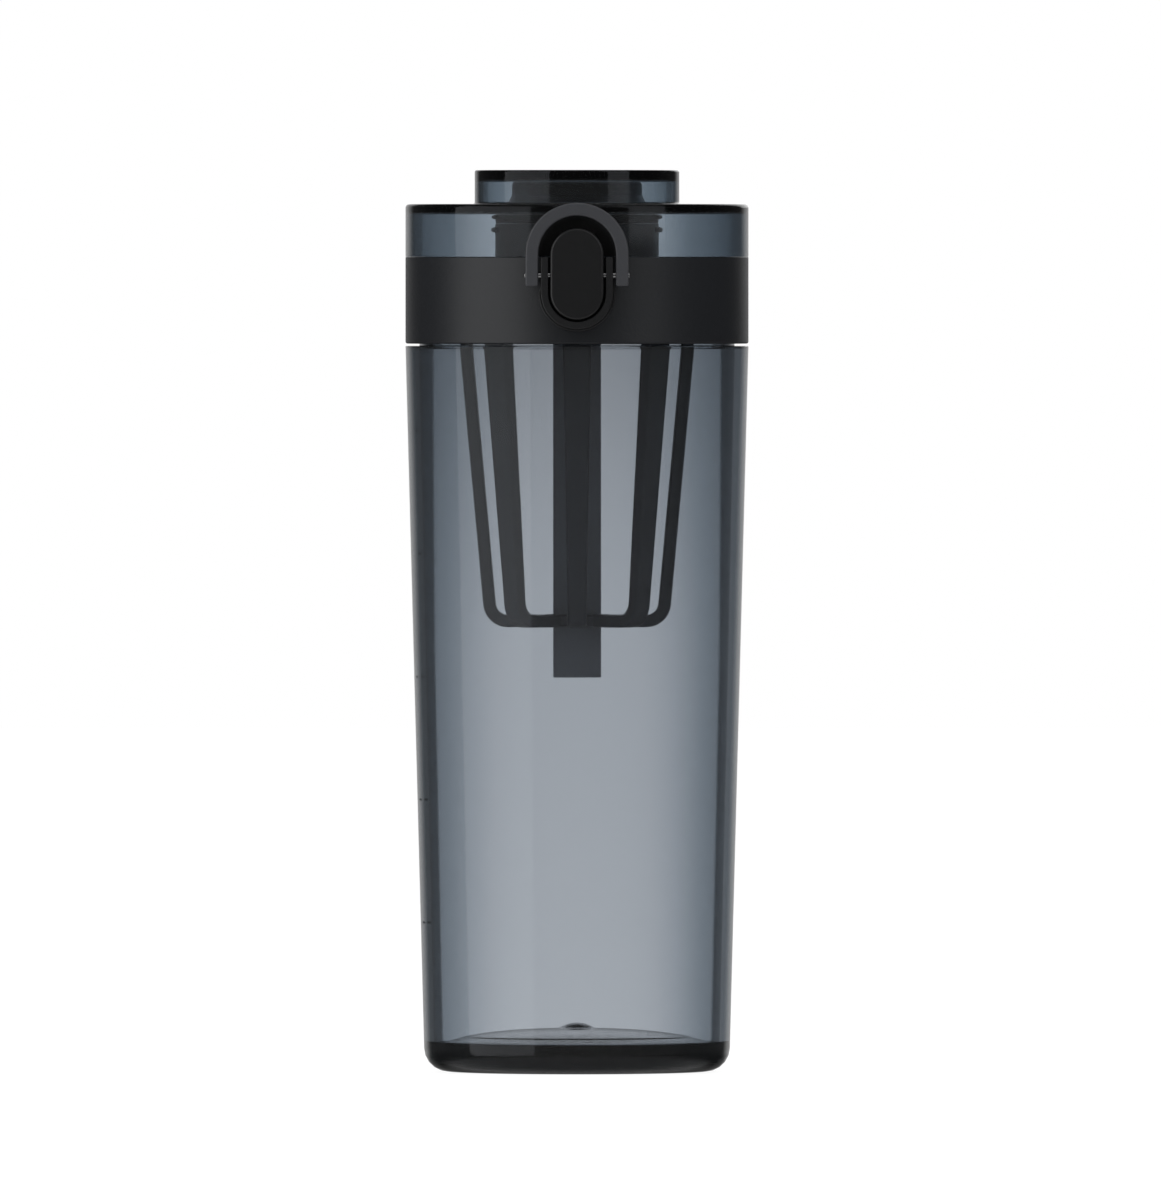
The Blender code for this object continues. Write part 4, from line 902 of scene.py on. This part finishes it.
def steel(name, colour, roughness):
    """Drawn steel with fine lines along X and a little tarnish."""
    finish = Tree(bpy.data.materials.new(name))
    place = finish.add("ShaderNodeTexCoord", output="Object")
    lines = finish.add("ShaderNodeTexNoise", None, {
        "Vector": finish.add("ShaderNodeMapping", None, {"Vector": place, "Scale": (90, 2600, 2600)}),
        "Scale": 1.0, "Detail": 3.0,
    })
    return coated(finish, {
        "Base Color": mottled(finish, grain(finish, 300, 2.0), colour, 0.8, 1.0),
        "Metallic": 1.0,
        "Roughness": roughness + 0.12 * lines,
        "Normal": dented(finish, 0.2, 0.00003, lines),
    })


def pin(name, radius, half, y, z):
    """A cross pin with rounded ends."""
    bar = crossing(name, radius, half, y, z, 40)
    soft = bar.modifiers.new("ends", "BEVEL")
    soft.width = radius * 0.3 * MM
    soft.segments = 3
    soft.limit_method = "ANGLE"
    return worked(bar)


pin_steel = steel("pin_steel", (0.62, 0.62, 0.63), 0.2)
latch_pin = pin("latch_pin_fine", 0.65, 13.12, PIN_Y, PIN_Z)
dressed(latch_pin, pin_steel, "lid", "steel", "latch_pin")

# Button spring: a small coil of three turns in spring steel wire. It stands between the collar and
# the pocket in the button's lower half.
COIL_STEPS = 28
SPRING_Z = 191.3
SPRING_R = 1.6
SPRING_TURNS = 3


def wire(name, route, radius, finish):
    """A round wire swept by nodes along a list of points in millimetres."""
    path = bpy.data.meshes.new(name)
    steps = list(zip(range(len(route)), range(1, len(route))))
    path.from_pydata([Vector(point) * MM for point in route], steps, [])
    piece = bpy.data.objects.new(name, path)
    scene.collection.objects.link(piece)
    tube = ShapeTree(name, {
        "Wire Radius": ("Float", radius * MM), "Sides": ("Int", 12), "Finish": ("Material", finish),
    })
    line = tube.add("GeometryNodeMeshToCurve", None, {"Mesh": tube.given("Geometry")})
    ring = tube.add("GeometryNodeCurvePrimitiveCircle", None, {
        "Radius": tube.given("Wire Radius"), "Resolution": tube.given("Sides"),
    })
    tube.made(piece, tube.add("GeometryNodeCurveToMesh", None, {
        "Curve": line, "Profile Curve": ring, "Fill Caps": True,
    }))
    shape = bmesh.new()
    shape.from_mesh(piece.data)
    bmesh.ops.remove_doubles(shape, verts=shape.verts, dist=1e-7)
    bmesh.ops.recalc_face_normals(shape, faces=shape.faces)
    shape.to_mesh(piece.data)
    shape.free()
    shaded(piece, 50)
    return piece


spring_steel = steel("spring_wire", (0.5, 0.5, 0.51), 0.28)
route = []
for index in range(SPRING_TURNS * COIL_STEPS + 1):
    turn = math.tau * index / COIL_STEPS
    reach = -43.5 - 3.7 * index / (SPRING_TURNS * COIL_STEPS)
    route.append((SPRING_R * math.cos(turn), reach, SPRING_Z + SPRING_R * math.sin(turn)))
button_spring = wire("button_spring_fine", route, 0.2, spring_steel)
dressed(button_spring, spring_steel, "lid", "spring_steel", "button_spring")

# Button: a long oval plate of black plastic that rocks on the cross pin, fine-grained on its face.
# A lug takes the pin, and a hook behind the top holds the cover.
button_black = matte("button_black", (0.0105, 0.0108, 0.0116), 0.38, 0.18)
oval = arc((0, BUTTON_LOW), BUTTON_R, 180, 360, 49) + arc((0, BUTTON_HIGH), BUTTON_R, 0, 180, 49)
button = prism("button_fine", oval, -49.0, -46.6, bevel=0.6, segments=4)
lug = crossing("lug", 1.9, 6.35, PIN_Y, PIN_Z)
hook = prism(
    "hook", [(-3.5, 207.3), (3.5, 207.3), (3.5, 209.0), (-3.5, 209.0)], -47.4, -43.2, bevel=0.2,
)
button = worked(button, lug, hook, operation="UNION")
spring_seat = rod("spring_seat", 2.3, (0, -47.7, SPRING_Z), (0, -44, SPRING_Z))
button = worked(button, spring_seat, crossing("bore", PIN_BORE_R, 9, PIN_Y, PIN_Z, 32))
dressed(button, button_black, "button", "button_black", "rocker_button")

# Lock bail: a dark grey plastic arch that swings up over the button, so that it can't be pressed by
# chance. Its legs hang on the ends of the cross pin.
ARCH_Z = 204.9
BAIL_R = 12.87
BAIL_INNER_R = 9.68
BAIL_FOOT = 197.0
bail_grey = matte("bail_grey", (0.055, 0.057, 0.064), 0.42, 0.2)
outline = arc((0, ARCH_Z), BAIL_R, 0, 180, 65) + [(-BAIL_R, BAIL_FOOT), (-BAIL_INNER_R, BAIL_FOOT)]
outline += arc((0, ARCH_Z), BAIL_INNER_R, 180, 0, 65)
outline += [(BAIL_INNER_R, BAIL_FOOT), (BAIL_R, BAIL_FOOT)]
bail = prism("bail_fine", outline, -47.7, -44.3, bevel=0.45, segments=4)
bail = worked(bail, crossing("bore", PIN_BORE_R, 15, PIN_Y, PIN_Z, 32))
dressed(bail, bail_grey, "bail", "bail_grey", "lock_bail")

# Flip cover: a clear smoke drum with a raised crown, darker than the tumbler, moulded in one and
# notched in front for the latch and behind for the hinge.
COVER_TOP = 226.0
CROWN_R = 25.65
CROWN_FOOT = 217.5


def arch(radius, foot):
    """An arch over the button, closed below."""
    return arc((0, ARCH_Z), radius, 0, 180, 65) + [(-radius, foot), (radius, foot)]


# Its side tones, dark bore line, pale edge and darkening towards +X are painted shade and a painted
# highlight; the tint itself is the absorption.
cover_smoke = smoke(
    "cover_smoke", density=392.0, tint=(0.0, 0.112, 0.209), waviness=0.02, skin_radius=0.0421,
    lean=0.0, top_shade=0.0, side=(0.51, 0.55, 0.585), turn_span=(0.08, 0.32), right_shade=1.0,
    clearness=0.985, rim_dark=0.5, edge_share=0.25, crown=0.2175, crown_side=(0.72, 0.76, 0.79),
    plates=(0.2155, 0.2175, 0.2236),
)
cover = turned("cover_fine", [
    (0, COVER_TOP, 0), (CROWN_R, COVER_TOP, 0.5), (CROWN_R, CROWN_FOOT, 0.5),
    (COLLAR_R, CROWN_FOOT, 1.0), (COLLAR_R, 204.25, 0.1), (41.2, 204.25, 0.1), (41.2, 215.3, 0.4),
    (23.75, 215.3, 0.2), (23.75, 223.4, 0.4), (0, 223.4, 0),
], closed=False)
front = prism("notch", arch(10.3, 200), -46, -37)
rear = prism("notch", [(-7.8, 200), (7.8, 200), (7.8, 212.0), (-7.8, 212.0)], 37, 46)
cover = worked(cover, front, rear)
dressed(cover, cover_smoke, "cover", "smoke_cover", "cover_shell")

# Catch block: a recessed arch of black plastic, snapped into the cover's front with a flange behind
# the wall. The bar inside is what the button's hook holds.
block = prism("catch_fine", arch(10.0, 204.5), -43.6, -39.7, bevel=0.2)
block = worked(block, prism("recess", arch(9.0, 200), -46, -40.5))
bridge = prism("bridge", arch(9.5, 204.8), -40.5, -38.3)
outline = [(across, min(up, 215.0)) for across, up in arch(12.5, 204.8)]
flange = prism("flange", outline, -38.96, -37.8)
bar = prism(
    "bar", [(-4.5, 209.3), (4.5, 209.3), (4.5, 210.6), (-4.5, 210.6)], -42.3, -39.9, bevel=0.15,
)
block = worked(block, bridge, flange, bar, operation="UNION")
dressed(block, latch_black, "cover", "black_satin", "catch_block")

# Hinge block: a black plastic insert, snapped into the cover's back with a flange inside. Its two
# knuckles turn on the hinge pin.
insert = prism("hinge_fine", [
    (38.7, 204.5), (43.5, 204.5), (43.5, 211.7), (38.7, 211.7),
], -7.5, 7.5, "X", 0.2, 2)
flange = prism("flange", [
    (38.3, 204.8), (39.48, 204.8), (39.48, 212.9), (38.3, 212.9),
], -10.7, 10.7, "X", 0.2, 2)
outline = [(42.7, 204.8)] + arc((HINGE_Y, HINGE_Z), HINGE_R, 175, 440, 41) + [(42.7, 209.5)]
knuckles = both_sides("knuckle", outline, 3.6, 7.5, 0.2)
insert = worked(insert, flange, *knuckles, operation="UNION")
insert = worked(insert, crossing("bore", HINGE_BORE_R, 15, HINGE_Y, HINGE_Z))
dressed(insert, latch_black, "cover", "black_satin", "hinge_block")

# Stopper: a satin black core fixed in the crown, stepped and flared to the mouth's width and
# hollow below. It carries the seal.
# The last number paints a sheen: the core's colour is up to eight times lighter where it is seen
# aslant.
core_black = rubber("core_satin", (0.018, 0.0185, 0.020), 0.34, 7.0)
core = turned("core_fine", [
    (0, 223.1, 0), (16.3, 223.1, 1.0), (16.3, 219.7, 1.5), (17.3, 217.7, 1.0), (19.1, 216.8, 0.4),
    (MOUTH_R, 216.0, 0.3), (MOUTH_R, 214.9, 0.3), (14.9, 214.9, 0.2), (14.9, 209.9, 0.6),
    (12.9, 209.9, 0.4), (12.9, 220.5, 0.8), (0, 220.5, 0),
], closed=False)
dressed(core, core_black, "cover", "black_satin", "stopper_carrier")

# Stopper seal: the black silicone ring that shuts the mouth, stretched over the core. Its thin lip
# shows at both sides.
seal = turned("seal_fine", [
    (20.4, 214.85, 0.1), (20.4, 212.65, 0.1), (15.2, 212.7, 0.2), (15.2, 214.8, 0.2),
])
seal = worked(seal, beads("seal_beads", 21.4, 214.2, 0.5), operation="UNION")
dressed(seal, silicone, "cover", "silicone", "stopper_seal")

# Hinge pin and torsion spring: steel, in the ears and the knuckles. The spring's legs press on the
# collar and on the hinge block and throw the cover open.
COIL_HALF = 2.75
COIL_R = 1.9
COIL_TURNS = 5
hinge_pin = pin("hinge_pin_fine", 1.2, 12.0, HINGE_Y, HINGE_Z)
dressed(hinge_pin, pin_steel, "lid", "steel", "hinge_pin")
route = [(-COIL_HALF, y, z) for y, z in ((43.6, 199.2), (44.1, 200.0), (44.3, 200.6), (44.3, 203.6))]
for index in range(COIL_TURNS * COIL_STEPS + 1):
    turn = math.pi - math.tau * index / COIL_STEPS
    place = -COIL_HALF + 2 * COIL_HALF * index / (COIL_TURNS * COIL_STEPS)
    route.append((place, HINGE_Y + COIL_R * math.cos(turn), HINGE_Z + COIL_R * math.sin(turn)))
route += [(COIL_HALF, 44.3, 204.8), (COIL_HALF, 44.3, 209.2)]
hinge_spring = wire("hinge_spring_fine", route, 0.3, spring_steel)
dressed(hinge_spring, spring_steel, "lid", "spring_steel", "hinge_spring")
